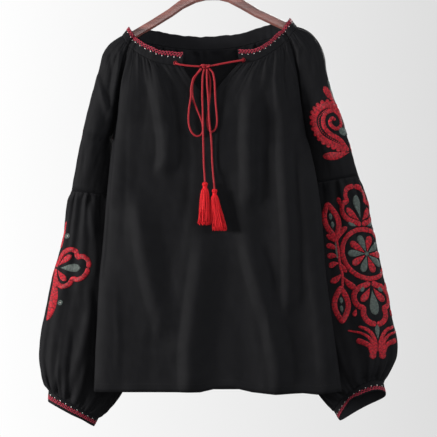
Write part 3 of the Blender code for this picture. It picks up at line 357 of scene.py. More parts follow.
SLEEVE_CREASES = {
    "left": [Crease(*row) for row in (
        ([(-205, -232), (-200, -258), (-193, -286), (-185, -316)], 4.2, 5),
        ([(-163, -182), (-169, -215), (-177, -260), (-185, -312), (-192, -345)], 4.2, 6),
        ([(-170, -178), (-166, -203), (-169, -227), (-178, -262)], 4.2, 2.2),
        ([(-184, -186), (-182, -226), (-183, -262)], 4.6, -1.6),
        ([(-222, -459), (-218, -500), (-212, -522)], 6, 2.6),
        ([(-227, -612), (-221, -657), (-232, -720), (-262, -806)], 7, 3),
        ([(-227, -754), (-236, -790), (-241, -810)], 5, 2),
        ([(-277, -754), (-283, -790), (-281, -812)], 5, 2),
        ([(-246, -470), (-244, -520), (-250, -600), (-262, -700)], 8, -1.8),
        ([(-200, -480), (-196, -560), (-203, -660), (-222, -770)], 8, 2),
        ([(-212, -330), (-218, -372), (-226, -420)], 5, 1.6),
        ([(-196, -318), (-205, -345), (-222, -352)], 6, -1.6),
        ([(-250, -690), (-258, -760), (-268, -808)], 6, -1.8),
    )],
    "right": [Crease(*row) for row in (
        ([(158, -178), (156, -200), (160, -246), (166, -290)], 4.4, 2.4),
        ([(176, -172), (178, -210), (186, -250)], 4.4, -1.5),
        ([(193, -330), (206, -372), (222, -410)], 6, 1.5),
        ([(232, -424), (238, -470), (240, -520)], 5.5, 2.2),
        ([(262, -430), (270, -480), (277, -530)], 5.5, -1.7),
        ([(205, -460), (202, -560), (214, -680), (240, -790)], 8.5, 2.2),
        ([(236, -560), (244, -660), (262, -770)], 8, -1.8),
        ([(286, -600), (300, -690), (298, -770)], 7, 2.2), ([(316, -690), (312, -740), (303, -780)], 5, 2),
        ([(222, -700), (238, -760), (256, -806)], 5.5, 2),
        ([(180, -320), (196, -338), (212, -340)], 6, -1.5),
        ([(178, -470), (176, -560), (186, -680)], 7, -1.6),
    )],
}


def through(rows, t):
    """Values at t on a smooth curve through equally spaced rows (Catmull-Rom)."""
    rows = np.asarray(rows, float)
    ends = np.concatenate([[2 * rows[0] - rows[1]], rows, [2 * rows[-1] - rows[-2]]])
    t = np.clip(np.asarray(t, float), 0, len(rows) - 1)
    i = np.minimum(t.astype(int), len(rows) - 2)
    f = t - i
    before, start, end, after = (ends[i + k] for k in range(4))
    bend = 2 * before - 5 * start + 4 * end - after + f * (3 * (start - end) + after - before)
    return start + 0.5 * f * (end - before + f * bend)


def columns_of(table, t):
    """Every named column of a table at t, as one record of the same kind."""
    return type(table[0])(*(through(column, t) for column in zip(*table)))


def points_through(points, t):
    return np.stack([through(axis, t) for axis in zip(*points)], axis=-1)


def ramp(value):
    value = np.clip(value, 0, 1)
    return value * value * (3 - 2 * value)


def run_along(line):
    """How far along a line each of its points lies."""
    return np.concatenate([[0], np.cumsum(np.linalg.norm(np.diff(line, axis=0), axis=1))])


def fold_height(folds, x, z):
    """Height of the long soft folds at a point of a panel."""
    total = np.zeros(np.broadcast(x, z).shape)
    for fold in folds:
        heights = [-fold.z_top, -fold.z_mid, -fold.z_low]
        centre = np.interp(-z, heights, [fold.x_top, fold.x_mid, fold.x_low])
        along = np.clip((fold.z_top - z) / (fold.z_top - fold.z_low), 0, 1)
        fade = np.sqrt(np.sin(math.pi * along))
        total = total + fold.height * fade * np.exp(-(((x - centre) / fold.width) ** 2))
    return total


def ring_point(outer, inner, half_depth, tilt, lift, pinch, angle):
    """A point of a sleeve's row: an ellipse from its outer to its inner edge, pinched flat inside."""
    middle = (outer + inner) / 2
    reach = (outer - inner) / 2
    sine = np.sin(angle)
    inside = np.cos(angle) < 0
    swell = np.where(inside, np.sign(sine) * np.abs(sine) ** pinch, sine)
    across = np.array([0, math.cos(tilt), -math.sin(tilt)]) * half_depth
    raised = np.array([0, 0, lift]) * sine[..., None] ** 2
    return middle + reach * np.cos(angle)[..., None] + across * swell[..., None] + raised


def ring_normal(outer, inner, half_depth, angle):
    reach = (outer - inner) / 2
    length = np.linalg.norm(reach)
    out = reach / length * np.cos(angle)[..., None] * half_depth
    out = out + np.array([0, 1, 0]) * np.sin(angle)[..., None] * length
    return out / np.linalg.norm(out, axis=-1, keepdims=True)


def edge_points(line, depth):
    """The outer and the inner edge of a sleeve's row."""
    outer = np.array([line.outer_x, depth.outer_y, line.outer_z], float)
    inner = np.array([line.inner_x, depth.inner_y, line.inner_z], float)
    return outer, inner


def upper_row(side, v, across):
    """The row v of an upper sleeve, at across 0 (front seam) to 1 (back seam)."""
    line = columns_of(UPPER_LEFT if side == "left" else UPPER_RIGHT, v)
    depth = columns_of(YOKE_DEPTH, v)
    front = math.radians(max(float(depth.open_front), 0)) if v < YOKE_ROWS else 0
    back = math.radians(max(float(depth.open_back), 0)) if v < YOKE_ROWS else 0
    share = math.cos(front)
    outer, inner = edge_points(line, depth)
    inner[::2] = (2 * inner[::2] - outer[::2] * (1 - share)) / (1 + share)
    angle = -(math.pi - front) + across * (2 * math.pi - front - back)
    points = ring_point(outer, inner, float(depth.half_depth), 0, 0, float(depth.pinch), angle)
    gather = SLEEVE_HEAD_GATHER * ramp(v) * math.exp(-v / SLEEVE_HEAD_DECAY)
    gather *= ramp((YOKE_ROWS - v) / 2)
    wave = np.cos(2 * math.pi * SLEEVE_HEAD_WAVES * across) * np.sin(angle) ** 2
    wave = wave * ramp(np.minimum(across, 1 - across) / SIDE_GATHER_FADE)
    tuck = SEAM_TUCK * ramp((v - UPPER_ROWS + SEAM_TUCK_ROWS) / SEAM_TUCK_ROWS) * ramp(UPPER_ROWS - v)
    tuck_wave = np.cos(SLEEVE_WAVES * angle) * np.cos(angle / 2) ** 2
    offset = gather * wave - tuck * tuck_wave
    return points + ring_normal(outer, inner, float(depth.half_depth), angle) * offset[..., None]


def lower_row(side, r, across):
    """The row r of a lower sleeve, all the way round from its inner edge by the front."""
    depth = columns_of(LOWER_DEPTH, r)
    turn = ramp((r - (LOWER_ROWS - TILT_ROWS)) / TILT_ROWS)
    late = ramp((r - (LOWER_ROWS - PINCH_FADE_ROWS)) / PINCH_FADE_ROWS)
    outer, inner = edge_points(columns_of(LOWER_LEFT if side == "left" else LOWER_RIGHT, r), depth)
    angle = -math.pi + across * 2 * math.pi
    tilt = math.radians(CUFF_TILT[side]) * turn
    pinch = LOWER_PINCH + (CUFF_PINCH - LOWER_PINCH) * late
    points = ring_point(outer, inner, float(depth.half_depth), tilt, CUFF_LIFT[side] * turn, pinch, angle)
    top = ARM_GATHER * ramp(r) * math.exp(-r / ARM_DECAY)
    low = CUFF_GATHER * ramp(LOWER_ROWS - r) * math.exp(-(LOWER_ROWS - r) / CUFF_DECAY)
    fullness = SLEEVE_INNER_GATHER + (1 - SLEEVE_INNER_GATHER) * np.cos(angle / 2) ** 2
    wave = (top + low) * np.cos(SLEEVE_WAVES * angle) * fullness
    ends = ramp(r / 2) * ramp((LOWER_ROWS - r) / 1.5)
    soft = fold_height(SLEEVE_FOLDS[side], points[..., 0], points[..., 2]) * ends * np.abs(np.sin(angle))
    return points + ring_normal(outer, inner, float(depth.half_depth), angle) * (wave + soft)[..., None]


def cuff_row(side, part, across):
    """A row of a cuff: part 0 is the sleeve's last row and 1 the mouth."""
    line, depth = CUFF_MOUTH[side]
    top = lower_row(side, LOWER_ROWS, across)
    outer, inner = edge_points(line, depth)
    angle = -math.pi + across * 2 * math.pi
    mouth = ring_point(outer, inner, depth.half_depth, math.radians(CUFF_TILT[side]), CUFF_LIFT[side],
                       CUFF_PINCH, angle)
    return top + (mouth - top) * part


def side_curve(side, face, v):
    """A raglan seam point: the end of the upper sleeve's row v on its front or back."""
    return upper_row(side, v, np.array([0 if face == "front" else 1]))[0]


def coons(top, low, start, end, u, w):
    """A patch through four edges. u runs from start to end, w from top to low."""
    u = u[None, :, None]
    w = w[:, None, None]
    ruled = (1 - w) * top[None] + w * low[None] + (1 - u) * start[:, None] + u * end[:, None]
    corners = (1 - w) * ((1 - u) * top[0] + u * top[-1]) + w * ((1 - u) * low[0] + u * low[-1])
    return ruled - corners


def rounded_side(share, early):
    """1 in the middle of the body, falling to 0 at its side fold."""
    power = SIDE_ROUNDNESS[0] + (SIDE_ROUNDNESS[1] - SIDE_ROUNDNESS[0]) * early
    return (1 - np.abs(share) ** power) ** SIDE_FALL


def body_points(r, share, face):
    """A row of the body tube below the underarm. share is -1 at the left side and 1 at the right."""
    row = columns_of(BODY, r)
    fraction = r / BODY_ROWS
    x = np.where(share < 0, -share * row.left_x, share * row.right_x)
    depth = row.front_y if face == "front" else row.back_y
    y = row.side_y + (depth - row.side_y) * rounded_side(share, ramp(r / 3))
    low = HEM_Z - np.interp(x, HEM_X, HEM_DROP) if face == "front" else BACK_HEM_Z + 0 * x
    low = low + (HEM_Z - low) * ramp((np.abs(share) - 0.9) / 0.1)
    z = UNDERARM_Z + (low - UNDERARM_Z) * fraction
    return np.stack([x, y, z], axis=-1)


def yoke_steps(rows):
    """How far down from the neck seam to the underarm line each row of the yoke lies."""
    seam = np.array([side_curve("left", "front", v)[2] for v in rows])
    return (seam - seam[0]) / (seam[-1] - seam[0])


def light_waves(x, z, wave):
    """Soft unevenness of hanging cloth: many slanting waves, longer down the cloth than across it."""
    rng = np.random.default_rng(wave.seed)
    total = np.zeros(np.broadcast(x, z).shape)
    for _ in range(WAVE_COUNT):
        kx, kz = rng.normal(0, 1 / wave.across), rng.normal(0, 1 / wave.along)
        total += np.cos(2 * math.pi * (kx * x + kz * z) + rng.uniform(0, 2 * math.pi))
    return total / math.sqrt(WAVE_COUNT)


def uneven_gathers(turn, seed, count):
    """Gathers round a seam, count of them over turn 0 to 1, each of its own width and height."""
    rng = np.random.default_rng(seed)
    warp = np.zeros(np.shape(turn))
    height = np.full(np.shape(turn), 0.75)
    for k in range(2, 9):
        warp += rng.uniform(0.2, 1) * np.sin(2 * math.pi * k * turn + rng.uniform(0, 6.3))
        height += 0.16 * np.sin(2 * math.pi * (k + 3) * turn + rng.uniform(0, 6.3))
    wave = np.cos(2 * math.pi * count * turn + warp)
    return height * (wave + 0.25 * np.cos(4 * math.pi * count * turn + 2 * warp))


def crease_height(creases, x, z):
    """Height of the drawn creases at points of a panel. Each one fades out at both ends."""
    total = np.zeros(x.shape)
    for crease in creases:
        offset, along = nearest_on(crease.points, x, z)
        fade = np.sin(math.pi * np.clip(along, 0, 1)) ** 0.6
        total += crease.height * fade * np.exp(-((offset / (crease.width * (0.75 + 0.6 * along))) ** 2))
    return total


def hanging_waves(name, x, z, y=0):
    """A panel's broad and its fine unevenness, or a sleeve's where y is given."""
    return sum(light_waves(x + slant * y, z, wave) * wave.height
               for slant, wave in zip(WAVE_SLANTS, HANGING_WAVES[name]))


def seam_gathers(name, turn, run):
    """A seam's gathers over turn 0 to 1, where run says how far from the seam a place lies."""
    return sum(uneven_gathers(turn, gather.seed, gather.count) * np.exp(-run / gather.reach)
               * ramp(run / gather.start) * gather.height for gather in SEAM_GATHERS[name])


def nearest_on(points, x, z):
    """How far each place lies from a line, to which side, and how far along it, from 0 to 1."""
    points = np.array(points, float)
    length = run_along(points)
    best = np.full(x.shape, 1e9)
    along, offset = np.zeros(x.shape), np.zeros(x.shape)
    for k, (a, b) in enumerate(zip(points, points[1:])):
        edge = b - a
        t = np.clip(((x - a[0]) * edge[0] + (z - a[1]) * edge[1]) / edge.dot(edge), 0, 1)
        dx, dz = x - a[0] - t * edge[0], z - a[1] - t * edge[1]
        far = np.hypot(dx, dz)
        closer = far < best
        side = np.sign(dx * -edge[1] + dz * edge[0])
        along = np.where(closer, (length[k] + t * (length[k + 1] - length[k])) / length[-1], along)
        offset = np.where(closer, far * side, offset)
        best = np.minimum(best, far)
    return offset, along


def pleat_height(pleats, x, z):
    """Height of broad folds: each rises over its drawn line and falls away more slowly beyond it."""
    total = np.zeros(x.shape)
    for pleat in pleats:
        offset, along = nearest_on(pleat.points, x, z)
        fade = ramp(along / 0.3) * ramp((1 - along) / 0.16)
        up = ramp((offset + pleat.rise) / (2 * pleat.rise))
        down = 1 - ramp((offset - pleat.rise) / pleat.fall)
        total += pleat.height * fade * up * down
    return total


def grid_normals(grid, ring_from=None):
    """Unit normals of a grid, out of the cloth. From row ring_from on, its rows close round a tube."""
    down = np.gradient(grid, axis=0)
    over = np.gradient(grid, axis=1)
    if ring_from is not None:
        joined = (grid[ring_from:, 1] - grid[ring_from:, -2]) / 2
        over[ring_from:, 0] = joined
        over[ring_from:, -1] = joined
    normal = np.cross(down, over)
    return normal / np.maximum(np.linalg.norm(normal, axis=2, keepdims=True), 1e-9)


def raised(grid, height, ring_from=None):
    return grid + grid_normals(grid, ring_from) * height[..., None]


def run_down(grid):
    """How far each point lies below its column's top, along the cloth."""
    step = np.linalg.norm(np.diff(grid, axis=0), axis=2)
    return np.concatenate([np.zeros((1, grid.shape[1])), np.cumsum(step, axis=0)])


def run_over(grid):
    step = np.linalg.norm(np.diff(grid, axis=1), axis=2)
    return np.concatenate([np.zeros((grid.shape[0], 1)), np.cumsum(step, axis=1)], axis=1)


def yoke_rows():
    return np.linspace(0, YOKE_ROWS, YOKE_ROWS * YOKE_STEPS + 1)


def hung_panel(yoke, share, relief, body_row):
    """A panel's grid: the rows of its yoke and those of the body below it, each with its relief."""
    lines = [relief(line, share, row) for line, row in zip(yoke, yoke_rows())]
    rows = np.linspace(0, BODY_ROWS, BODY_ROWS * ROW_STEPS + 1)[1:]
    return np.array(lines + [relief(body_row(r), share, YOKE_ROWS + r) for r in rows])


def add_front_relief(line, share, row):
    wave = np.cos(2 * math.pi * NECK_WAVES * (1 - (1 - share) ** (1 / EDGE_CROWDING)))
    inside = ramp(share / GATHER_FADE) * ramp((1 - share) / GATHER_FADE)
    gather = FRONT_GATHER * ramp(row) * math.exp(-row / FRONT_DECAY) * wave * inside
    soft = fold_height(FRONT_FOLDS, line[:, 0], line[:, 2]) * ramp(row / 2)
    line[:, 1] -= gather + soft * ramp((1 - share) / FOLD_FADE)
    return line


def slit_line(table, rows):
    points = np.array([(x, y, z) for (x, z), y in zip(table, CENTRE_Y)])
    return points_through(points, rows)


def half_front(side):
    """Half of the front at the fine steps, from its centre line to its edge, rows from neck seam to hem."""
    rows = yoke_rows()
    share = 1 - (1 - np.linspace(0, 1, HALF_FRONT_COLUMNS * COLUMN_STEPS + 1)) ** EDGE_CROWDING
    sign = -1 if side == "left" else 1
    edge = np.array([side_curve(side, "front", v) for v in rows])
    seam = (FRONT_SEAM_LEFT if side == "left" else FRONT_SEAM_RIGHT) + [tuple(edge[0])]
    top = points_through(seam, share * (len(seam) - 1))
    low = body_points(0, sign * share, "front")
    left, right = slit_line(SLIT_LEFT, rows), slit_line(SLIT_RIGHT, rows)
    centre = left if side == "left" else right
    centre = np.where(rows[:, None] >= SLIT_ROW, (left + right) / 2, centre)
    yoke = coons(top, low, centre, edge, share, yoke_steps(rows))
    grid = hung_panel(yoke, share, add_front_relief, lambda r: body_points(r, sign * share, "front"))
    return grid[:, ::-1] if side == "left" else grid


def seam_ridge(reach):
    """The ridge of a seam at reach from a panel's edge. It starts from nothing at the edge itself."""
    height, place, width = SEAM_RIDGE
    return height * np.exp(-(((reach - place) / width) ** 2)) * ramp(reach / place)


def spread_over(values, grid):
    """One value for each column of a grid, repeated down all its rows."""
    return values[None, :] * np.ones(grid.shape[:2])


def front_grids():
    """Both halves of the front with their creases, columns from left to right."""
    halves = []
    for side in SIDES:
        grid = half_front(side)
        x, z = grid[..., 0], grid[..., 2]
        below = run_down(grid)
        turn = spread_over(np.linspace(0, 1, grid.shape[1]), grid)
        outer = 1 - turn if side == "left" else turn
        edge = ramp((1 - outer) / SIDE_EDGE)
        slit = ramp(outer / SLIT_EDGE + np.maximum(below - SLIT_DEPTH, 0) / SLIT_FADE)
        fine = seam_gathers("front_" + side, turn, below)
        creases = crease_height(FRONT_CREASES, x, z) + pleat_height(FRONT_PLEATS, x, z)
        cloth = hanging_waves("front", x, z) * ramp(below / CLOTH_FADE)
        reach = run_over(grid) if side == "left" else run_over(grid[:, ::-1])[:, ::-1]
        height = (fine * slit + creases + cloth + hem_height(z)) * edge + seam_ridge(reach)
        halves.append(raised(grid, height))
    middle = (halves[0][:, -1] + halves[1][:, 0]) / 2
    joined = SLIT_ROW * YOKE_STEPS
    halves[0][joined:, -1] = middle[joined:]
    halves[1][joined:, 0] = middle[joined:]
    return halves


def hem_height(z):
    """The hem's turned-up layer, a small step."""
    return HEM_STEP * ramp((-z - (-HEM_Z - HEM_DEPTH)) / HEM_SLOPE)


def back_grid():
    """The back, columns from its right edge to its left edge."""
    rows = yoke_rows()
    share = np.linspace(0, 1, BACK_COLUMNS * COLUMN_STEPS + 1)
    share = share - BACK_CROWDING * np.sin(2 * math.pi * share)
    start = np.array([side_curve("right", "back", v) for v in rows])
    end = np.array([side_curve("left", "back", v) for v in rows])
    seam = [tuple(start[0])] + BACK_SEAM + [tuple(end[0])]
    top = points_through(seam, share * (len(seam) - 1))
    span = 1 - 2 * share
    patch = coons(top, body_points(0, span, "back"), start, end, share, yoke_steps(rows))
    grid = hung_panel(patch, span, add_back_relief, lambda r: body_points(r, span, "back"))
    x, z = grid[..., 0], grid[..., 2]
    below = run_down(grid)
    turn = spread_over(np.linspace(0, 1, grid.shape[1]), grid)
    edge = ramp(np.minimum(turn, 1 - turn) / BACK_EDGE)
    fine = seam_gathers("back", turn, below)
    cloth = hanging_waves("back", x, z) * ramp(below / CLOTH_FADE)
    height = fine + crease_height(BACK_CREASES, x, z) + cloth + hem_height(z)
    return raised(grid, height * edge)


def add_back_relief(line, span, row):
    inside = ramp((1 - np.abs(span)) / SIDE_GATHER_FADE)
    wave = np.cos(math.pi * BACK_WAVES * (1 - span))
    gather = NECK_GATHER * ramp(row) * math.exp(-row / NECK_DECAY) * wave
    fading = 1 - (1 - BACK_FOLDS_LOW) * ramp((row - YOKE_ROWS) / 3)
    soft = fold_height(BACK_FOLDS, line[:, 0], line[:, 2]) * ramp(row / 2) * fading
    line[:, 1] += (gather + soft) * inside
    return line


def sleeve_turns(side):
    """Places across a sleeve from 0 at its front seam to 1, in the order that makes its outside face out."""
    turns = np.linspace(0, 1, SLEEVE_COLUMNS * COLUMN_STEPS + 1)
    return turns if side == "right" else turns[::-1]


def front_share(y, depth, start):
    """1 on the front of a sleeve's rows, falling to 0 behind their middle over a depth."""
    return ramp((y.mean(axis=1, keepdims=True) - y) / depth + start)


def ends_fade(below, above, first, last):
    """0 at both ends of a piece, rising to 1 over a first and a last stretch."""
    return ramp(below / first) * ramp(above / last)


def upper_grid(side):
    """An upper sleeve with its creases, from the band to the gathered seam."""
    across = sleeve_turns(side)
    steps = np.linspace(0, UPPER_ROWS, UPPER_ROWS * YOKE_STEPS + 1)
    grid = np.array([upper_row(side, float(v), across) for v in steps])
    parting = np.array(UNDERARM_PARTING) * [-1 if side == "left" else 1, 1, 1]
    near = np.cos(math.pi * across) ** PARTING_SHARPNESS
    depth = np.maximum(1 - np.abs(steps - YOKE_ROWS), 0)
    grid += parting * near[None, :, None] * depth[:, None, None]
    x, y, z = grid[..., 0], grid[..., 1], grid[..., 2]
    below = run_down(grid)
    above = below[-1:] - below
    row = steps[:, None] * np.ones_like(x)
    turn = spread_over(across, grid)
    closed = np.maximum(row - YOKE_ROWS - ARM_JOIN, 0) / ARM_JOIN_FADE
    seam = ramp(np.minimum(turn, 1 - turn) / ARM_EDGE + closed)
    creases = crease_height(SLEEVE_CREASES[side], x, z) * front_share(y, 8, 0.3)
    ends = ends_fade(below, above, 30, 12)
    soft = seam_gathers("arm_head", turn, below) + (creases + hanging_waves("upper", x, z, y)) * ends
    return raised(grid, soft * seam + seam_gathers("arm_tucks", turn, above), YOKE_ROWS * YOKE_STEPS)


def lower_grid(side):
    """A lower sleeve, puffed and gathered at both ends, all the way round from its inner edge."""
    across = sleeve_turns(side)
    steps = np.linspace(0, LOWER_ROWS, LOWER_ROWS * ROW_STEPS + 1)
    grid = np.array([lower_row(side, float(r), across) for r in steps])
    x, y, z = grid[..., 0], grid[..., 1], grid[..., 2]
    below = run_down(grid)
    above = below[-1:] - below
    turn = spread_over(across, grid)
    front = REAR_CREASES + (1 - REAR_CREASES) * front_share(y, 10, 0.4)
    fine = seam_gathers("puff_top", turn, below) + seam_gathers("puff_foot", turn, above)
    creases = crease_height(SLEEVE_CREASES[side], x, z) * front * ends_fade(below, above, 10, 8)
    cloth = hanging_waves("lower", x, z, y) * ends_fade(below, above, 25, 20)
    return raised(grid, fine + creases + cloth, 0)


def cuff_grid(side):
    """A cuff, puckered at its seam, with a thicker rim and its front mouth pushed up where drawn."""
    across = sleeve_turns(side)
    grid = np.array([cuff_row(side, k / CUFF_FINE_ROWS, across) for k in range(CUFF_FINE_ROWS + 1)])
    part = np.linspace(0, 1, CUFF_FINE_ROWS + 1)[:, None]
    puckers = uneven_gathers(spread_over(across, grid), 71, CUFF_PUCKERS) * CUFF_PUCKER_HEIGHT
    ripple = puckers * (1 - part) ** 2 * ramp(part / 0.08)
    rim = CUFF_RIM * ends_fade(part, 1 - part, 0.1, 0.06)
    depth = grid[..., 1].mean() - grid[..., 1]
    for place, wide, rise in CUFF_LIFTS[side]:
        near = np.exp(-((grid[..., 0] - place) / wide) ** 2) * ramp(0.5 + depth / 12)
        grid[..., 2] += rise * near * part ** 1.5
    return raised(grid, ripple + rim, 0)


def band_grid(seams):
    """The neckband, from the right edge of the slit round the neck to its left edge, top edge first."""
    base = np.concatenate([seams[0]] + [seam[1:] for seam in seams[1:]])
    station = [[0]] + [k + np.linspace(0, 1, len(seam))[1:] for k, seam in enumerate(seams)]
    station = np.concatenate(station)
    rise = np.stack([np.interp(station, BAND_STATIONS, axis) for axis in zip(*BAND_RISE)], axis=-1)
    rise[:, 2] += BAND_WAVER.height * light_waves(base[:, 0], base[:, 1], BAND_WAVER)
    parts = np.linspace(0, 1, BAND_FINE_ROWS + 1)
    grid = np.array([base + rise * (1 - part) for part in parts])
    turn = spread_over(np.linspace(0, 1, len(base)), grid)
    puckers = uneven_gathers(turn, 81, BAND_PUCKERS) * BAND_PUCKER_HEIGHT * parts[:, None] ** 1.5
    fold = BAND_FOLD * ends_fade(parts, 1 - parts, 0.12, 0.1)[:, None]
    return raised(grid, puckers + fold)


def mesh_object(name, points, faces, look, uv):
    """A smooth mesh from points in millimetres, with its texture coordinates in millimetres too."""
    mesh = bpy.data.meshes.new(name)
    mesh.from_pydata((np.asarray(points) * MM).tolist(), [], faces)
    layer = mesh.uv_layers.new(name="cloth")
    corners = np.empty(len(mesh.loops), np.int32)
    mesh.loops.foreach_get("vertex_index", corners)
    layer.data.foreach_set("uv", np.asarray(uv, np.float32)[corners].ravel())
    mesh.shade_smooth()
    mesh.materials.append(look)
    obj = bpy.data.objects.new(name, mesh)
    bpy.context.scene.collection.objects.link(obj)
    return obj


def grid_faces(rows, columns, first=0):
    a = first + np.arange((rows - 1) * columns).reshape(rows - 1, columns)[:, :-1].ravel()
    return np.stack([a, a + columns, a + columns + 1, a + 1], axis=1).tolist()


def rim_edges(faces):
    edges = {(a, b) for face in faces for a, b in zip(face, face[1:] + face[:1])}
    return [(a, b) for a, b in edges if (b, a) not in edges]


def welded_index(points):
    """For each point the first one at the same place."""
    _, keep, back = np.unique(np.round(points, 4), axis=0, return_index=True, return_inverse=True)
    return keep[back.reshape(-1)]


def cloth_shell(name, grids, looks, ring_from=None, level=False):
    """A thin closed cloth of one grid or two that share an edge. With level, its weave runs along x."""
    outside, inside, uv, faces = [], [], [], []
    first = 0
    for grid in grids:
        normal = grid_normals(grid, ring_from)
        outside.append((grid + normal * CLOTH_OUT).reshape(-1, 3))
        inside.append((grid + normal * CLOTH_IN).reshape(-1, 3))
        over = grid[..., 0] if level else run_over(grid)
        uv.append(np.stack([over, -run_down(grid)], axis=-1).reshape(-1, 2))
        faces += grid_faces(grid.shape[0], grid.shape[1], first)
        first += grid.shape[0] * grid.shape[1]
    points = np.concatenate(outside + inside)
    uv = np.concatenate(uv + uv)
    middle = np.concatenate([grid.reshape(-1, 3) for grid in grids])
    index = welded_index(middle) if len(grids) > 1 else np.arange(len(middle))
    joined = [tuple(dict.fromkeys(int(index[k]) for k in face)) for face in faces]
    joined = [face for face in joined if len(face) > 2]
    count = len(middle)
    sides = joined + [tuple(k + count for k in reversed(face)) for face in joined]
    sides += [(b, a, a + count, b + count) for a, b in rim_edges(joined)]
    used = np.unique([k for face in sides for k in face])
    renumber = np.full(2 * count, -1)
    renumber[used] = np.arange(len(used))
    sides = [tuple(int(renumber[k]) for k in face) for face in sides]
    obj = mesh_object(name, points[used], sides, looks["cotton"], uv[used])
    # The inner faces take the second material, a lighter cotton that paints light into the shaded inside
    obj.data.materials.append(looks["inside"])
    reverse = np.zeros(len(sides), np.int32)
    reverse[len(joined):2 * len(joined)] = 1
    obj.data.polygons.foreach_set("material_index", reverse)
    return obj


class Chart:
    """The outside of a sleeve laid flat: across along the cloth, equal to x in its middle, and height z."""

    STEP = 1

    def __init__(self, grid, side):
        sign = 1 if side == "right" else -1
        grid = grid[:, ::sign]
        normal = grid_normals(grid) * sign
        outer = grid + normal * CLOTH_OUT
        level = np.linalg.norm(np.diff(outer[:, :, :2], axis=1), axis=2)
        run = np.concatenate([np.zeros((len(grid), 1)), np.cumsum(level, axis=1)], axis=1)
        middle = grid.shape[1] // 4
        across = outer[:, middle:middle + 1, 0] + sign * (run - run[:, middle:middle + 1])
        self.low = float(across.min())
        places = np.arange(self.low, across.max(), self.STEP)
        fields = np.concatenate([outer, normal], axis=2)
        rows = []
        for line, values in zip(across, fields):
            rows.append([np.interp(places, line[::sign], column[::sign]) for column in values.T])
        self.fields = np.array(rows).transpose(0, 2, 1)

    def at(self, c, z):
        """Points on the cloth and its outward directions, at places of the flat chart."""
        shape = np.shape(c)
        c, z = np.ravel(c), np.ravel(z)
        j = np.clip((c - self.low) / self.STEP, 0, self.fields.shape[1] - 1.001)
        k = j.astype(int)
        f = (j - k)[None, :, None]
        columns = self.fields[:, k] * (1 - f) + self.fields[:, k + 1] * f
        heights = columns[:, :, 2]
        row = np.clip((heights > z).sum(axis=0) - 1, 0, len(heights) - 2)
        pick = np.arange(len(c))
        top, low = columns[row, pick], columns[row + 1, pick]
        g = np.clip((top[:, 2] - z) / np.maximum(top[:, 2] - low[:, 2], 1e-6), 0, 1)[:, None]
        found = top * (1 - g) + low * g
        return found[:, :3].reshape(*shape, 3), found[:, 3:].reshape(*shape, 3)


# Satin stitches: how far they stand off the cloth, how round they are and where their edges tuck in
STITCH_LIFT = 0.15
STITCH_DOME = 0.95
STITCH_EDGE = -0.25
STROKE_SIDES = np.array([-1, -0.86, -0.5, 0, 0.5, 0.86, 1])
POINT_HALF = 0.12
LINE_STEP = 1.6
Frame = namedtuple("Frame", "across z slant")


class Threads:
    """Satin-stitched strokes of one colour on one surface, gathered into one mesh."""

    def __init__(self, surface):
        self.surface = surface
        self.points, self.uv, self.faces = [], [], []
        self.count = 0

    def stroke(self, centre, half, closed=False, dome=STITCH_DOME):
        """A raised band along a centre line of (across, z) points, half as wide as half says at each."""
        centre = np.asarray(centre, float)
        if closed:
            ahead = np.roll(centre, -1, axis=0) - np.roll(centre, 1, axis=0)
        else:
            ahead = np.gradient(centre, axis=0)
        side = np.stack([ahead[:, 1], -ahead[:, 0]], axis=1)
        side /= np.maximum(np.linalg.norm(side, axis=1, keepdims=True), 1e-9)
        half = np.broadcast_to(half, len(centre))
        flat = centre[:, None] + side[:, None] * (half[:, None] * STROKE_SIDES)[..., None]
        points, normals = self.surface.at(flat[..., 0], flat[..., 1])
        width = np.clip(half / 3, 0.25, 1)[:, None]
        lift = STITCH_LIFT + dome * width * np.sqrt(1 - STROKE_SIDES ** 2)
        lift = lift + STITCH_EDGE * (np.abs(STROKE_SIDES) > 0.99)
        points = points + normals * lift[..., None]
        run = np.broadcast_to(run_along(centre)[:, None], flat.shape[:2])
        uv = np.stack([run, half[:, None] * STROKE_SIDES], axis=-1)
        faces = grid_faces(len(centre), len(STROKE_SIDES), self.count)
        if closed:
            last, n = self.count + (len(centre) - 1) * len(STROKE_SIDES), len(STROKE_SIDES)
            faces += [(last + k, self.count + k, self.count + k + 1, last + k + 1) for k in range(n - 1)]
        self.points.append(points.reshape(-1, 3))
        self.uv.append(uv.reshape(-1, 2))
        self.faces += [tuple(face) for face in faces]
        self.count += points.shape[0] * points.shape[1]

    def mesh(self, name, look):
        return mesh_object(name, np.concatenate(self.points), self.faces, look, np.concatenate(self.uv))


def blunt(line, half, start=1, end=1):
    """Half widths along a line, rounded off at its ends. An end of 0 tapers to a point."""
    t = np.linspace(0, 1, len(line))
    run = np.linalg.norm(np.diff(line, axis=0), axis=1).sum()
    near = np.clip(t * run / max(half, 1e-6), 0, 1)
    far = np.clip((1 - t) * run / max(half, 1e-6), 0, 1)
    widths = half * (start * (1 - t) + end * t + (1 - max(start, end)) * np.sin(math.pi * t))
    return np.maximum(widths * np.sqrt(near * (2 - near)) * np.sqrt(far * (2 - far)), POINT_HALF)


def even_points(points, spacing, finer=16, least=5):
    """Points at even steps on a smooth curve through the given ones, and how far along each lies."""
    fine = points_through(points, np.linspace(0, len(points) - 1, finer * len(points)))
    run = run_along(fine)
    places = np.linspace(0, run[-1], max(int(run[-1] / spacing), least) + 1)
    return np.stack([np.interp(places, run, axis) for axis in fine.T], axis=-1), places


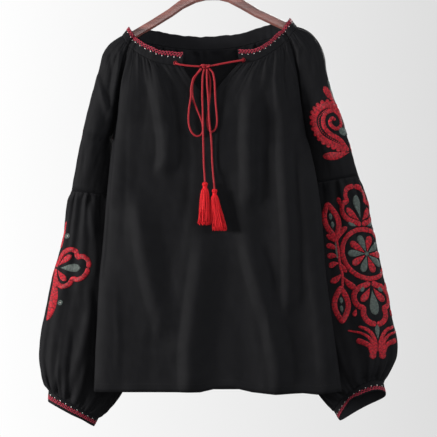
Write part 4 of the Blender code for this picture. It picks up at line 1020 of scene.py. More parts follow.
class Motif:
    """Draws shapes in a local frame, p across and q up from its place, on both sides of its axis."""

    def __init__(self, threads, frame, mirrored=True, turned=False):
        self.threads = threads
        self.frame = frame
        self.sides = (-1, 1) if mirrored else (1,)
        self.turned = turned

    def lay(self, colour, line, half, closed=False, middle=False):
        line = np.asarray(line, float)
        if self.turned:
            line = line[:, ::-1]
        for side in ((1,) if middle else self.sides):
            p, q = line[:, 0], line[:, 1]
            if self.turned:
                q = q * side
            else:
                p = p * side
            placed = np.stack([self.frame.across + p + self.frame.slant * q, self.frame.z + q], axis=1)
            self.threads[colour].stroke(placed, half, closed)

    def band(self, colour, points, half, start=1, end=1):
        """A stroke along a smooth line, with round ends."""
        line = even_points(points, LINE_STEP)[0]
        self.lay(colour, line, blunt(line, half, start, end))

    def petal(self, colour, root, tip, half, middle=False, bend=0, head=0.68):
        """A drop from its pointed root to its round tip."""
        root, tip = np.array(root, float), np.array(tip, float)
        t = np.linspace(0, 1, 18)
        along = tip - root
        out = np.array([along[1], -along[0]])
        line = root + along * t[:, None] + out * (bend * np.sin(math.pi * t))[:, None]
        rise = np.clip(t / head, 0, 1)
        fall = np.clip((t - head) / (1 - head), 0, 1)
        widths = half * (rise * rise * (3 - 2 * rise)) ** 0.7 * np.sqrt(1 - fall ** 2)
        self.lay(colour, line, np.maximum(widths, POINT_HALF), middle=middle)

    def ring(self, colour, centre, radius, half, tall=1, pointed=0, tilt=0, middle=False):
        """A closed band: a circle, or with pointed an almond whose ends are sharp."""
        t = np.linspace(0, 2 * math.pi, 72, endpoint=False)
        wide = np.cos(t) * (1 - pointed * np.sin(t) ** 2 * 0.6)
        p = centre[0] + radius * wide + tilt * radius * tall * np.sin(t)
        q = centre[1] + radius * tall * np.sin(t)
        self.lay(colour, np.stack([p, q], axis=1), half, closed=True, middle=middle)

    def dot(self, colour, centre, radius, middle=False):
        self.petal(colour, (centre[0], centre[1] - radius), (centre[0], centre[1] + radius), radius,
                   middle=middle, head=0.5)


# Half of a three-lobed flower, as side and forward from its root, and the drops inside it
TREFOIL_EDGE = [
    (1.5, 1), (9, 5), (20, 8.5), (30, 16), (33.5, 26.5), (29, 37), (20, 41.5), (21, 50), (17.5, 59),
    (9, 65), (0, 66),
]
ROSETTE_RADIUS = 44.5
ROSETTE_PETALS = 10


def trefoil(motif, root=(0, 0), size=1, wide=1, flip=1):
    """A three-lobed flower from the side, with a grey drop in its middle lobe and a red one each side."""

    def at(p, q):
        return (root[0] + p * wide * size, root[1] + q * size * flip)

    motif.band("red", [at(*point) for point in TREFOIL_EDGE], 4.4 * size)
    motif.petal("red", at(3, 9), at(22.5, 30.5), 5.6 * size, bend=0.06)
    motif.petal("grey", at(0, 13), at(0, 52), 7.4 * size, middle=True)


def rosette(motif):
    """A ring round petals of the two colours in turn."""
    motif.ring("red", (0, 0), ROSETTE_RADIUS, 4.4, middle=True)
    for k in range(ROSETTE_PETALS):
        turn = math.radians(69 + 360 / ROSETTE_PETALS * k)
        way = np.array([math.cos(turn), math.sin(turn)])
        colour = "red" if k % 2 == 0 else "grey"
        motif.petal(colour, way * 3, way * (ROSETTE_RADIUS - 9.5), 6.4, middle=True, head=0.72)
    motif.dot("grey", (0, 0), 4.4, middle=True)


def flower_column(motif):
    """The rosette with a three-lobed flower above and one below."""
    rosette(motif)
    trefoil(motif, (0, 51), 1.08, 0.92)
    trefoil(motif, (0, -50), 1.16, 0.9, flip=-1)


def almond(motif, centre, tilt):
    """A pointed ring with two small grey stitches inside."""
    motif.ring("red", centre, 12.6, 5, tall=2.3, pointed=1, tilt=tilt)
    for step in (-7.5, 7.5):
        p, q = centre[0] + tilt * step, centre[1] + step
        motif.petal("grey", (p, q - 6.4), (p, q + 6.4), 3.1, head=0.5)


def side_spray(motif):
    """The upright stem beside the rosette, with curled leaves, between its two almonds."""
    almond(motif, (-56, 60), -0.10)
    almond(motif, (-60, -92), 0.10)
    motif.band("red", [(-52.5, 30), (-51, 8), (-52, -14), (-50.5, -38), (-53, -60)], 2.4)
    for height, reach, rise in ((17, 18, 17), (6, 21, 9), (-6, 22, 1), (-17, 21, -7)):
        motif.petal("red", (-51.5, height), (-51.5 - reach, height + rise), 5.2, bend=0.12)
    motif.petal("red", (-51, -34), (-74, -51), 5.6, bend=-0.1)
    motif.petal("red", (-51, 20), (-29, 49), 5.4, bend=-0.12)
    motif.petal("red", (-49, -40), (-28.5, -63), 6, bend=0.1)
    motif.petal("red", (-50, -16), (-42.5, -34), 3.6)
    motif.petal("red", (-34, -99), (-40, -113), 4.2)


def palmette(motif):
    """A spread of fronds over two rounded feet, with a grey drop between."""
    motif.band("red", [(-5, -14), (-5.2, 4), (-9.5, 17), (-19, 27), (-36, 33)], 4.6, end=0.6)
    motif.band("red", [(-8.6, -20), (-9.6, 0), (-16, 12), (-30, 20.5), (-56, 25.5)], 4.4, end=0.3)
    motif.band("red", [(-12, -16), (-15.5, -3), (-25, 3), (-40, 8)], 5.4, start=0.7)
    motif.band("red", [(-7.5, 6), (-8.5, -10), (-10.5, -26)], 6.8, start=0.75)
    motif.petal("grey", (0, 9), (-1, 36), 4, middle=True)


# The curled upper flower: its scalloped outer band, the inner coil and the dots between
CURL_EDGE = [
    (-1, 25), (-10, 42), (-26, 46.5), (-45, 38), (-59.5, 19), (-59, -2), (-48, -17), (-29, -27.5),
    (-7, -36.5),
]
COIL = [
    (-5, -37), (-19, -16.5), (-34, -6), (-42.5, 8.5), (-37, 27.5), (-19, 36), (-7, 26), (-9, 10),
    (-21.5, 3), (-30, 12), (-25, 22), (-17.5, 18.5),
]
DOTTED = [
    (-5, 31), (-14, 40.5), (-27, 38.5), (-40, 31), (-49.8, 18), (-49.8, 1), (-38.5, -11.5), (-24, -21),
    (-10, -29),
]
SCALLOP_STEP = 8.6
BEAD_STEP = 3.6


def right_flower(threads):
    """The right lower sleeve: rosette, a flower above and below, sprays at the sides and a palmette."""
    motif = Motif(threads, FLOWER_RIGHT)
    flower_column(motif)
    motif.band("grey", [(-51.5, 30), (-54.5, 12), (-54.5, -8)], 1.9)
    motif.petal("grey", (-10, 50), (-25, 57), 3.9)
    motif.petal("grey", (-14, -57), (-21, -68), 4.6, head=0.5)
    motif.petal("red", (-33, 84), (-38, 103), 4.4)
    side_spray(motif)
    palmette(Motif(threads, Frame(FLOWER_RIGHT.across + 20.5, FLOWER_RIGHT.z - 164, 0)))


def left_flower(threads):
    """The left lower sleeve: the flower's side lobes and leaf at the inner edge, the rest round the arm."""
    beside = Motif(threads, FLOWER_LEFT, mirrored=False)
    trefoil(Motif(threads, FLOWER_LEFT, turned=True))
    flower_column(Motif(threads, FLOWER_LEFT._replace(across=FLOWER_LEFT.across - 51)))
    beside.band("red", [(0, 84), (2.5, 66), (1, 50), (-1, 36)], 5.4, start=0.6)
    beside.petal("red", (0, -12), (8, -96), 8.6, bend=-0.10, head=0.5)
    beside.petal("red", (2, -40), (17, -58), 4.2)
    for place in ((13, 57.6), (28, -63), (8, -63)):
        beside.ring("grey", place, 3.3, 1.5)
        beside.dot("pale", place, 1.2)
    palmette(Motif(threads, Frame(FLOWER_LEFT.across - 96, FLOWER_LEFT.z - 164, 0)))


def curled_flower(motif):
    """The pair of curled leaves of an upper sleeve, with drops above and a leaf below."""
    motif.band("red", CURL_EDGE, 6.4, end=0.85)
    line = even_points(CURL_EDGE, SCALLOP_STEP)[0]
    ahead = np.gradient(line, axis=0)
    out = np.stack([-ahead[:, 1], ahead[:, 0]], axis=1) / np.linalg.norm(ahead, axis=1, keepdims=True)
    for point, way in list(zip(line, out))[1:-1]:
        motif.petal("red", point - way * 1.5, point - way * 9.6, 3.7, head=0.62)
    motif.band("red", COIL, 4.1, end=0.8)
    for bead in even_points(DOTTED, BEAD_STEP)[0]:
        motif.dot("red", bead, 1.25)
    motif.petal("grey", (-17, 6), (-3, -7.5), 6.8, head=0.55)
    motif.petal("red", (-4, 44), (-26, 79), 7)
    motif.petal("grey", (-5, 56), (-11, 92), 4.2, head=0.5)
    motif.petal("red", (-3, -38.5), (-57, -46), 7.4, bend=-0.06)


# Trims of the neckband and the cuffs, in millimetres from the edge they follow, and machine stitches
TRIM_END = 1.5
TRIM_EDGE = 1.7
TRIM_HALF = 0.85
TRIM_WAVE = 3.3
TRIM_WAVE_HALF = 0.8
TRIM_REACH = 4.2
TRIM_PERIOD = 5.6
TRIM_DOTS = 8.9
DOT_PERIOD = 10.8
DOT_HALF = 0.95
CUFF_INSET = {"left": 4.2, "right": 1.6}
STITCH_PITCH = 3.4
STITCH_LENGTH = 2.1
STITCH_HALF = 0.28
SEAM_STITCH = 2.6
HEM_STITCH = 15


class Strip:
    """A surface for narrow trims: along its edge and down from it, both in millimetres."""

    def __init__(self, grid, ring_from=None, from_last=False):
        self.normal = grid_normals(grid, ring_from)
        self.points = grid + self.normal * CLOTH_OUT
        if from_last:
            self.normal, self.points = self.normal[::-1], self.points[::-1]
        self.run = run_along(self.points[0])
        down = np.linalg.norm(np.diff(self.points, axis=0), axis=2).mean(axis=1)
        self.down = np.concatenate([[0], np.cumsum(down)])
        self.length = self.run[-1]

    def at(self, along, down):
        j = np.interp(along, self.run, np.arange(len(self.run)))
        i = np.interp(down, self.down, np.arange(len(self.down)))
        a, b = np.minimum(i.astype(int), len(self.down) - 2), np.minimum(j.astype(int), len(self.run) - 2)
        f, g = (i - a)[..., None], (j - b)[..., None]
        found = []
        for field in (self.points, self.normal):
            top = field[a, b] * (1 - g) + field[a, b + 1] * g
            low = field[a + 1, b] * (1 - g) + field[a + 1, b + 1] * g
            found.append(top * (1 - f) + low * f)
        return found


def edge_trim(strip, name, looks, inset=0):
    """A red line, a red zigzag under it and a row of pale dots, along a strip's edge."""
    red, pale = Threads(strip), Threads(strip)
    run = np.arange(TRIM_END, strip.length - TRIM_END, 0.8)
    turn = 2 * math.pi * run / TRIM_PERIOD
    red.stroke(np.stack([run, inset + TRIM_EDGE + 0.6 * np.sin(turn)], axis=1), TRIM_HALF)
    wave = inset + TRIM_WAVE + TRIM_REACH * (0.5 - 0.5 * np.cos(turn)) ** 1.3
    red.stroke(np.stack([run, wave], axis=1), TRIM_WAVE_HALF)
    across = np.linspace(-1, 1, 7)
    round_half = DOT_HALF * np.sqrt(np.clip(1 - across ** 2, 0.01, 1))
    for place in np.arange(TRIM_END + TRIM_PERIOD, strip.length - TRIM_END - 2, DOT_PERIOD):
        spot = np.stack([place + DOT_HALF * across, np.full(7, inset + TRIM_DOTS)], axis=1)
        pale.stroke(spot, round_half, dome=1.4)
    return [red.mesh(name + "_red", looks["crimson"]), pale.mesh(name + "_pale", looks["pale"])]


def stitch_row(strip, down, name, look):
    """A row of short machine stitches at a distance from the strip's first edge."""
    threads = Threads(strip)
    for place in np.arange(2, strip.length - 3, STITCH_PITCH):
        dash = np.stack([place + np.linspace(0, STITCH_LENGTH, 4), np.full(4, down)], axis=1)
        threads.stroke(dash, STITCH_HALF, dome=0.35)
    return threads.mesh(name, look)


# Twisted cord: strands round its middle, their depth and the length of one turn
STRANDS = 3
STRAND_DEPTH = 0.16
CORD_TWIST = 9
CORD_SIDES = 18
CORD_STEP = 1.4


def tube_frames(line):
    """Two directions square to the line at each of its points, turning as little as they can."""
    ahead = np.gradient(line, axis=0)
    ahead /= np.linalg.norm(ahead, axis=1, keepdims=True)
    start = np.cross(ahead[0], (0.3, 1, 0.2))
    first = [start / np.linalg.norm(start)]
    for way in ahead[1:]:
        turned = first[-1] - way * first[-1].dot(way)
        first.append(turned / np.linalg.norm(turned))
    first = np.array(first)
    return first, np.cross(ahead, first)


def tube(line, radius, sides, twist=0, depth=0):
    """Points and faces of a tube round a line, three-stranded where depth says how deep."""
    line = np.asarray(line, float)
    run = run_along(line)
    one, two = tube_frames(line)
    turn = np.linspace(0, 2 * math.pi, sides, endpoint=False)
    phase = STRANDS * (turn[None, :] - (2 * math.pi * run / twist)[:, None]) if twist else 0
    radii = np.broadcast_to(radius, len(line))[:, None] * np.ones(sides)
    radii = radii * (1 - depth * (1 - np.abs(np.cos(np.asarray(phase) / 2))))
    ring = one[:, None] * np.cos(turn)[None, :, None] + two[:, None] * np.sin(turn)[None, :, None]
    points = (line[:, None] + ring * radii[..., None]).reshape(-1, 3)
    faces = []
    for k in range(len(line) - 1):
        for s in range(sides):
            a, b = k * sides + s, k * sides + (s + 1) % sides
            faces.append((a, b, b + sides, a + sides))
    faces.append(tuple(range(sides))[::-1])
    faces.append(tuple((len(line) - 1) * sides + s for s in range(sides)))
    uv = np.stack([np.repeat(run, sides), np.tile(turn * np.mean(radii), len(line))], axis=1)
    return points, faces, uv


def tube_mesh(name, tubes, look):
    points, faces, uv, count = [], [], [], 0
    for part_points, part_faces, part_uv in tubes:
        points.append(part_points)
        uv.append(part_uv)
        faces += [tuple(k + count for k in face) for face in part_faces]
        count += len(part_points)
    return mesh_object(name, np.concatenate(points), faces, look, np.concatenate(uv))


def cord_tube(line, radius):
    return tube(line, radius, CORD_SIDES, CORD_TWIST, STRAND_DEPTH)


def cord_piece(name, looks):
    """One stretch of the drawstring. A tail runs on through its tassel's head."""
    route = list(CORDS[name])
    if name.startswith("tail"):
        tassel = TASSELS[name.replace("tail", "tassel")]
        route.append((tassel.x, tassel.y, tassel.top_z - TASSEL_HEAD))
    line, places = even_points(route, CORD_STEP, 40, 4)
    obj = tube_mesh(name + "_cord", [cord_tube(line, CORD_RADIUS)], looks["cord"])
    return obj, line * MM, float(places[-1]) * MM


# The knot: its loop's points, its cord's radius, the core that fills its middle, and the plain
# trefoil curve's half width and height, which bring it to its solid's size
KNOT_TURNS = 120
KNOT_CORD = 1.75
KNOT_CORE = [(-6.5, 0, 0), (-3, 0.4, 0.4), (3, 0.4, -0.4), (6.5, 0, 0)]
KNOT_CORE_RADIUS = 2.4
KNOT_WIDE = 2.65
KNOT_TALL = 3


def knot_piece(looks):
    """The drawstring's knot: a trefoil knot of the same cord, pulled tight inside its solid's size."""
    t = np.linspace(0, 2 * math.pi, KNOT_TURNS + 1)
    x = np.sin(t) + 2 * np.sin(2 * t)
    z = np.cos(t) - 2 * np.cos(2 * t)
    y = -np.sin(3 * t)
    reach = np.array(KNOT_HALF) - KNOT_CORD
    loop = np.stack([x / KNOT_WIDE, y, z / KNOT_TALL], axis=1) * reach + KNOT_CENTRE
    core = even_points(np.array(KNOT_CORE) + KNOT_CENTRE, CORD_STEP, 40, 4)[0]
    tubes = [cord_tube(loop, KNOT_CORD), tube(core, KNOT_CORE_RADIUS, CORD_SIDES)]
    return tube_mesh("knot_cord", tubes, looks["cord"])


# Tassel threads: over the head, wound round its neck and loose in its skirt
HEAD_THREADS = 26
HEAD_THREAD_RADIUS = 0.42
NECK_WRAPS = 5
WRAP_RADIUS = 0.5
SKIRT_THREADS = 118
SKIRT_THREAD_RADIUS = 0.6
SKIRT_TWIST = 4
SKIRT_DEPTH = 0.3
SKIRT_OVERLAP = 1.5
GOLDEN_TURN = 2.39996

# Eyelets: radii of their two rings, and how far out and in front each stitch passes
EYELET_RINGS = (2.7, 3.3)
EYELET_STITCHES = 20
EYELET_STITCH = ((2.3, 0.1), (3, -0.35), (3.8, 0.2))


def head_profile(part):
    """Half width of a tassel's head from its top to the foot of its bound neck, as a share of its widest."""
    knob = 0.95 * np.sqrt(np.clip(1 - ((part - 0.3) / 0.36) ** 2, 0.02, 1))
    neck = 0.62 + 0.3 * ramp((part - 0.78) / 0.22)
    return np.where(part < 0.58, np.maximum(knob, 0.3), neck)


def tassel_head(top, rng):
    """A core, threads laid over it from the top and a cord wound round its neck."""
    parts = np.linspace(0, 1, 26)
    profile = TASSEL_WIDE * head_profile(parts)
    core = top + np.stack([0 * parts, 0 * parts, -TASSEL_HEAD * parts], axis=1)
    tubes = [tube(core, profile * 0.86, 24)]
    for k in range(HEAD_THREADS):
        turn = 2 * math.pi * (k + rng.uniform(-0.2, 0.2)) / HEAD_THREADS
        radii = (profile - 0.45) * (1 - 0.9 * (parts < 0.02))
        way = np.array([math.cos(turn), math.sin(turn), 0])
        tubes.append(tube(core + radii[:, None] * way, HEAD_THREAD_RADIUS, 5))
    for k in range(NECK_WRAPS):
        turn = np.linspace(0, 2 * math.pi, 29)
        level = -TASSEL_HEAD * (0.6 + 0.055 * k + 0.008 * turn)
        radius = TASSEL_WIDE * 0.66
        wrap = np.stack([radius * np.cos(turn), radius * np.sin(turn), level], axis=1)
        tubes.append(tube(top + wrap, WRAP_RADIUS, 6))
    return tubes


def skirt_strand(tassel, k, rng):
    """One loose, wavy strand of a tassel's skirt, from its bound neck to its cut end."""
    share = math.sqrt((k + 0.5) / SKIRT_THREADS)
    turn = GOLDEN_TURN * k + rng.uniform(-0.15, 0.15)
    root = TASSEL_WIDE * 0.78 * share
    t = np.linspace(0, 1, 15)
    flare = t ** 0.5
    length = tassel.skirt * (1 - 0.10 * rng.uniform() ** 1.5)
    spread = share * rng.uniform(0.88, 1.12)
    x = root * math.cos(turn) * (1 - flare) + tassel.half_width * spread * math.cos(turn) * flare
    y = root * math.sin(turn) * (1 - flare) + tassel.half_depth * spread * math.sin(turn) * flare
    x += tassel.lean * t ** 1.4 + 0.9 * t * np.sin(7 * t + rng.uniform(0, 6.3))
    y += 0.5 * t * np.sin(6 * t + rng.uniform(0, 6.3))
    z = -TASSEL_HEAD + SKIRT_OVERLAP - (length + SKIRT_OVERLAP) * t
    line = np.stack([x, y, z], axis=1) + (tassel.x, tassel.y, tassel.top_z)
    return tube(line, SKIRT_THREAD_RADIUS * (1 - 0.3 * t), 6, SKIRT_TWIST, SKIRT_DEPTH)


def tassel_piece(name, looks):
    """A tassel: threads over a round head, bound below it, and a skirt of loose wavy strands."""
    tassel = TASSELS[name]
    rng = np.random.default_rng(7 if name.endswith("left") else 8)
    tubes = tassel_head(np.array([tassel.x, tassel.y, tassel.top_z]), rng)
    tubes += [skirt_strand(tassel, k, rng) for k in range(SKIRT_THREADS)]
    return tube_mesh(name + "_threads", tubes, looks["tassel"])


def eyelet_piece(name, place, looks):
    """A small stitched ring where the drawstring leaves the neckband."""
    turn = np.linspace(0, 2 * math.pi, 33)
    tubes = []
    for k, radius in enumerate(EYELET_RINGS):
        ring = np.stack([radius * np.cos(turn), 0 * turn + 0.25 - 0.1 * k, radius * np.sin(turn)], axis=1)
        tubes.append(tube(ring + place, 0.5, 8))
    for k in range(EYELET_STITCHES):
        angle = 2 * math.pi * k / EYELET_STITCHES
        way = np.array([math.cos(angle), 0, math.sin(angle)])
        line = place + np.array([way * reach + (0, rise, 0) for reach, rise in EYELET_STITCH])
        tubes.append(tube(line, 0.3, 5))
    return tube_mesh(name, tubes, looks["red"])


class Look:
    """A node material under construction."""

    def __init__(self, name):
        self.material = bpy.data.materials.new(name)
        self.material.use_nodes = True
        self.nodes = self.material.node_tree.nodes
        self.links = self.material.node_tree.links
        self.shader = self.nodes["Principled BSDF"]

    def math(self, operation, first, second=None):
        made = self.nodes.new("ShaderNodeMath")
        made.operation = operation
        for socket, value in zip(made.inputs, (first, second)):
            if value is None:
                continue
            if isinstance(value, (int, float)):
                socket.default_value = value
            else:
                self.links.new(value, socket)
        return made.outputs[0]

    def blend(self, first, share, second, other):
        """The sum of two values, each times its share."""
        return self.math("ADD", self.math("MULTIPLY", first, share), self.math("MULTIPLY", second, other))

    def ribs(self, value, pitch):
        """A wave along a coordinate, one for each pitch."""
        return self.math("SINE", self.math("MULTIPLY", value, 2 * math.pi / pitch))

    def cloth_place(self):
        """The place on the cloth, and its two coordinates along the threads, in millimetres."""
        uv = self.nodes.new("ShaderNodeUVMap")
        uv.uv_map = "cloth"
        split = self.nodes.new("ShaderNodeSeparateXYZ")
        self.links.new(uv.outputs["UV"], split.inputs[0])
        return uv.outputs["UV"], split.outputs["X"], split.outputs["Y"]

    def object_place(self):
        return self.nodes.new("ShaderNodeTexCoord").outputs["Object"]

    def noise(self, place, scale, detail=3, roughness=0.55, stretch=(1, 1, 1)):
        mapping = self.nodes.new("ShaderNodeMapping")
        mapping.inputs["Scale"].default_value = stretch
        made = self.nodes.new("ShaderNodeTexNoise")
        made.inputs["Scale"].default_value = scale
        made.inputs["Detail"].default_value = detail
        made.inputs["Roughness"].default_value = roughness
        self.links.new(place, mapping.inputs["Vector"])
        self.links.new(mapping.outputs["Vector"], made.inputs["Vector"])
        return made.outputs["Fac"]

    def colours(self, factor, *stops):
        """Colour by a factor, through stops of a position and its colour."""
        made = self.nodes.new("ShaderNodeValToRGB")
        elements = made.color_ramp.elements
        while len(elements) < len(stops):
            elements.new(0.5)
        for element, (position, colour) in zip(elements, stops):
            element.position = position
            element.color = (*colour, 1)
        self.links.new(factor, made.inputs["Fac"])
        self.links.new(made.outputs["Color"], self.shader.inputs["Base Color"])

    def bump(self, height, strength, distance):
        made = self.nodes.new("ShaderNodeBump")
        made.inputs["Strength"].default_value = strength
        made.inputs["Distance"].default_value = distance * MM
        self.links.new(height, made.inputs["Height"])
        self.links.new(made.outputs["Normal"], self.shader.inputs["Normal"])

    def set(self, **values):
        for key, value in values.items():
            self.shader.inputs[key.replace("_", " ")].default_value = value


# Pitch of the weave and of satin threads in millimetres, and tones of cotton and wood, dark to light
WEAVE_PITCH = 0.55
SATIN_PITCH = 0.5
COTTON_TONES = ((0.0024, 0.0024, 0.0028), (0.0033, 0.0033, 0.0038))
WOOD_TONES = ((0.034, 0.009, 0.0068), (0.068, 0.019, 0.0145), (0.098, 0.032, 0.0235))


def cotton_look(name, shade):
    """Fine plain weave with slubs. The shade scales its near black; a shade above 1 is painted light for the
    shaded inside.
    """
    look = Look(name)
    place, u, v = look.cloth_place()
    weave = look.math("MULTIPLY", look.ribs(u, WEAVE_PITCH), look.ribs(v, WEAVE_PITCH))
    slub = look.noise(place, 0.25, 4, 0.6, (1, 0.12, 1))
    look.bump(look.blend(weave, 0.35, slub, 1.6), 0.5, 0.16)
    dark, light = [[part * shade for part in tone] for tone in COTTON_TONES]
    look.colours(look.noise(place, 0.05, 5), (0.3, dark), (0.75, light))
    look.set(Roughness=0.7, Sheen_Weight=0.004, Sheen_Roughness=0.3, Specular_IOR_Level=0.035)
    return look.material


def thread_look(name, dark, light, roughness=0.5, sheen=0.015):
    """Satin stitch: fine threads across each stroke, a little uneven in tone."""
    look = Look(name)
    place, u, v = look.cloth_place()
    slant = look.math("ADD", u, look.math("MULTIPLY", v, 0.22))
    ridge = look.ribs(slant, SATIN_PITCH)
    fibre = look.noise(place, 1.1, 3, 0.6, (1, 0.15, 1))
    look.bump(look.math("ADD", look.math("MULTIPLY", ridge, 0.5), fibre), 0.6, 0.22)
    patches = look.noise(place, 0.32, 2, 0.6, (1, 0.6, 1))
    look.colours(look.blend(fibre, 0.4, patches, 0.6), (0.4, dark), (0.62, light))
    look.set(Roughness=roughness, Sheen_Weight=sheen, Sheen_Roughness=0.4, Specular_IOR_Level=0.12)
    return look.material


def yarn_look(name, dark, light):
    look = Look(name)
    place = look.cloth_place()[0]
    fibre = look.noise(place, 1.6, 4, 0.65, (1, 0.5, 1))
    look.bump(fibre, 0.55, 0.3)
    look.colours(fibre, (0.28, dark), (0.72, light))
    look.set(Roughness=0.72, Sheen_Weight=0.01, Sheen_Roughness=0.4, Specular_IOR_Level=0.15)
    return look.material


def wood_look():
    """Straight grain along the bar, with fine pores in it."""
    look = Look("reddish brown wood")
    place = look.object_place()
    grain = look.noise(place, 90, 6, 0.62, (0.06, 1, 1))
    pores = look.noise(place, 420, 3, 0.6, (0.05, 1, 1))
    mixed = look.blend(grain, 0.7, pores, 0.3)
    look.colours(mixed, *zip((0.36, 0.5, 0.66), WOOD_TONES))
    look.bump(mixed, 0.35, 0.35)
    look.set(Roughness=0.5, Coat_Weight=0.15, Coat_Roughness=0.3)
    return look.material


def steel_look():
    look = Look("drawn steel wire")
    scratch = look.noise(look.object_place(), 900, 4, 0.6, (1, 1, 0.2))
    look.colours(scratch, (0.3, (0.30, 0.30, 0.31)), (0.7, (0.44, 0.44, 0.45)))
    look.bump(scratch, 0.2, 0.05)
    look.set(Metallic=1, Roughness=0.38)
    return look.material


def floor_look():
    look = Look("pale floor")
    mottle = look.noise(look.object_place(), 3, 4)
    look.colours(mottle, (0.3, (0.22, 0.222, 0.225)), (0.7, (0.25, 0.252, 0.255)))
    look.set(Roughness=0.85)
    return look.material


def make_looks():
    return {
        "cotton": cotton_look("black cotton", 1),
        # The inner faces get the cotton 1.9 times lighter: painted light that lifts the shade inside the
        # blouse
        "inside": cotton_look("black cotton inside with painted light", 1.9),
        "red": thread_look("red satin thread", (0.035, 0.0006, 0.002), (0.235, 0.0024, 0.0085)),
        "crimson": thread_look("crimson thread", (0.045, 0.0018, 0.0045), (0.2, 0.009, 0.024)),
        "grey": thread_look("grey green satin thread", (0.016, 0.022, 0.0195), (0.042, 0.052, 0.047)),
        "pale": thread_look("pale thread", (0.18, 0.175, 0.165), (0.34, 0.33, 0.31)),
        "seam": thread_look("black sewing thread", (0.003, 0.003, 0.0035), (0.006, 0.006, 0.007), 0.7, 0),
        "cord": yarn_look("red twisted yarn", (0.06, 0.0008, 0.0025), (0.17, 0.0028, 0.0068)),
        "tassel": yarn_look("loose red yarn", (0.14, 0.0004, 0.0018), (0.42, 0.0016, 0.0058)),
    }


# A record for the flat size of a cut piece in metres, before it was gathered and hung: width, length, area,
# held and rests_on. No piece's sizes are listed
Cut = namedtuple("Cut", "width length area held rests_on")
EYELETS = {"eyelet_left": "lace_left", "eyelet_right": "lace_right"}
KNOT_SHOWN_WITH = "lace_left"

# Where the flowers sit on the flat chart of each sleeve: across, z and the slant of their upright
FLOWER_RIGHT = Frame(280.8, -556.2, -0.145)
FLOWER_LEFT = Frame(-290, -581.4, 0.213)
CURL_PLACE = {"left": Frame(-322, -346, 0.234), "right": Frame(246, -333, -0.234)}


def embroidered(grid, side, design, name, looks):
    """Sews a design onto a sleeve. Gives one piece for each colour that it uses."""
    surface = Chart(grid, side)
    threads = {colour: Threads(surface) for colour in ("red", "grey", "pale")}
    design(threads)
    used = {colour: thread for colour, thread in threads.items() if thread.count}
    return [thread.mesh(f"{name}_{side}_{colour}", looks[colour]) for colour, thread in used.items()]


def upper_flower(threads, side):
    curled_flower(Motif(threads, CURL_PLACE[side]))


def declare(obj, node=None):
    """Hides the solid that a piece stands for, if one is given, and attaches the piece to the blouse's root
    body.
    """
    if node:
        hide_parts(node)
    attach(obj, "root")


def place_cloth(name, grids, looks, ring_from=None, level=False, pieces=()):
    obj = cloth_shell(name + "_cloth", grids, looks, ring_from, level)
    declare(obj, name)
    for piece in pieces:
        declare(piece)


def place_body(looks):
    """Front, back and neckband. Gives the upper sleeves' grids, whose edges the band is sewn round."""
    left, right = front_grids()
    back = back_grid()
    uppers = {side: upper_grid(side) for side in SIDES}
    band = band_grid([right[0], uppers["right"][0], back[0], uppers["left"][0], left[0]])
    front = np.concatenate([left, right[:, 1:]], axis=1)
    for name, whole, grids in (("front", front, [left, right]), ("back", back, [back])):
        strip = Strip(whole, from_last=True)
        hem = stitch_row(strip, HEM_STITCH, "hem_stitches_" + name, looks["seam"])
        place_cloth(name, grids, looks, level=True, pieces=[hem])
    trims = edge_trim(Strip(band), "neck_trim", looks)
    place_cloth("neckband", [band], looks, pieces=trims)
    return uppers


def place_sleeve(side, upper, looks):
    sewn = embroidered(upper, side, lambda threads: upper_flower(threads, side), "curl", looks)
    place_cloth("sleeve_upper_" + side, [upper], looks, YOKE_ROWS * YOKE_STEPS,
                pieces=sewn)
    lower = lower_grid(side)
    sewn = embroidered(lower, side, left_flower if side == "left" else right_flower, "flower", looks)
    sewn.append(stitch_row(Strip(lower, 0), SEAM_STITCH, "arm_stitches_" + side, looks["seam"]))
    place_cloth("sleeve_lower_" + side, [lower], looks, 0, pieces=sewn)
    cuff = cuff_grid(side)
    trims = edge_trim(Strip(cuff, 0, from_last=True), "cuff_trim_" + side, looks, CUFF_INSET[side])
    place_cloth("cuff_" + side, [cuff], looks, 0, pieces=trims)


def place_drawstring(looks):
    """Every stretch of the drawstring, its knot and its two tassels."""
    knot = knot_piece(looks)
    declare(knot, "knot")
    for name in CORDS:
        obj, path, length = cord_piece(name, looks)
        declare(obj, name)
        pieces = [knot] if name == KNOT_SHOWN_WITH else []
        far_end = "fitting" if name.startswith("tail") else "knot"
        if far_end == "fitting":
            tassel_name = name.replace("tail", "tassel")
            pieces.append(tassel_piece(tassel_name, looks))
            declare(pieces[-1], tassel_name)


def place_eyelets(looks):
    for name, lace in EYELETS.items():
        declare(eyelet_piece(name, np.array(CORDS[lace][0]) + (0, 0.35, 0), looks))


def dress_hanger(nodes):
    """The hanger's solids keep their shape and get a finer finish."""
    for name, look in (("hanger_bar", wood_look()), ("hanger_hook", steel_look())):
        for slot in nodes[name].material_slots:
            slot.material = look


# Camera in front of the blouse, level with its middle, as far off as the photo's flat view suggests,
# the wall's shades from left to right, the room's colour and the floor, in metres
CAMERA_PLACE = (0.0117, -6.03, -0.492)
CAMERA_LENS = 274.5
WALL_SPREAD = 0.07
WALL_SHADES = (1, 0.72)
WALL_SHARE = (0.35, 0.9)
ROOM_COLOUR = (0.72, 0.724, 0.73, 1)
FLOOR_Z = -1.35
FLOOR_RADIUS = 2.2
FLOOR_SIDES = 96

# Soft studio lamps round the blouse, all aimed at its middle
LIGHT_AIM = Vector((0, 0, -0.5))
AreaLight = namedtuple("AreaLight", "place size power tint")
LIGHTS = {
    "key": AreaLight((-2.8, -1.05, -0.15), 0.7, 325, (1, 0.985, 0.96)),
    "fill": AreaLight((2.3, -1.2, 0.1), 0.9, 66, (0.95, 0.975, 1)),
    "front": AreaLight((0.2, -3.2, -0.3), 0.8, 34, (1, 1, 1)),
    "rear": AreaLight((1.2, 2.4, 0.6), 1.2, 90, (1, 0.99, 0.98)),
    "top": AreaLight((0.2, -0.5, 1.4), 1, 16, (1, 1, 1)),
}


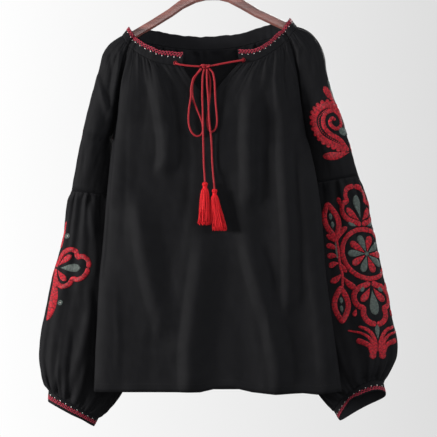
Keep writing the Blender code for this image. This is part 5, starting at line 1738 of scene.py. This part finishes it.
def place_camera():
    data = bpy.data.cameras.new("camera")
    data.lens = CAMERA_LENS
    data.sensor_width = 36
    camera = bpy.data.objects.new("camera", data)
    camera.location = CAMERA_PLACE
    camera.rotation_euler = (math.radians(90), 0, 0)
    bpy.context.scene.collection.objects.link(camera)
    bpy.context.scene.camera = camera


def place_lights():
    for name, light in LIGHTS.items():
        data = bpy.data.lights.new(name, "AREA")
        data.size = light.size
        data.energy = light.power
        data.color = light.tint
        obj = bpy.data.objects.new(name, data)
        obj.location = light.place
        obj.rotation_euler = (LIGHT_AIM - Vector(light.place)).to_track_quat("-Z", "Y").to_euler()
        bpy.context.scene.collection.objects.link(obj)


def range_node(nodes, low, high):
    made = nodes.new("ShaderNodeMapRange")
    made.inputs["From Min"].default_value = low
    made.inputs["From Max"].default_value = high
    return made


def place_world():
    """A pale wall behind the blouse, whiter at the left, and a light grey room all round it."""
    world = bpy.data.worlds.new("studio")
    world.use_nodes = True
    nodes, links = world.node_tree.nodes, world.node_tree.links
    split = nodes.new("ShaderNodeSeparateXYZ")
    spread = range_node(nodes, -WALL_SPREAD, WALL_SPREAD)
    tone = nodes.new("ShaderNodeValToRGB")
    for stop, shade in zip(tone.color_ramp.elements, WALL_SHADES):
        stop.color = (shade, shade, shade, 1)
    links.new(nodes.new("ShaderNodeTexCoord").outputs["Generated"], split.inputs[0])
    links.new(split.outputs["X"], spread.inputs["Value"])
    links.new(spread.outputs["Result"], tone.inputs["Fac"])
    room = nodes.new("ShaderNodeMix")
    room.data_type = "RGBA"
    room.inputs["A"].default_value = ROOM_COLOUR
    behind = range_node(nodes, *WALL_SHARE)
    links.new(split.outputs["Y"], behind.inputs["Value"])
    links.new(behind.outputs["Result"], room.inputs["Factor"])
    links.new(tone.outputs["Color"], room.inputs["B"])
    links.new(room.outputs["Result"], nodes["Background"].inputs["Color"])
    bpy.context.scene.world = world


def place_floor():
    bpy.ops.mesh.primitive_circle_add(vertices=FLOOR_SIDES, radius=FLOOR_RADIUS, fill_type="NGON",
                                      location=(0, 0, FLOOR_Z))
    floor = bpy.context.object
    floor.name = "floor"
    floor.data.materials.append(floor_look())


def main():
    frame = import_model()
    bpy.context.scene.view_settings.view_transform = "Standard"
    place_camera()
    looks = make_looks()
    place_drawstring(looks)
    uppers = place_body(looks)
    for side, upper in uppers.items():
        place_sleeve(side, upper, looks)
    place_eyelets(looks)
    dress_hanger(frame["nodes"])
    place_lights()
    place_world()
    place_floor()


main()
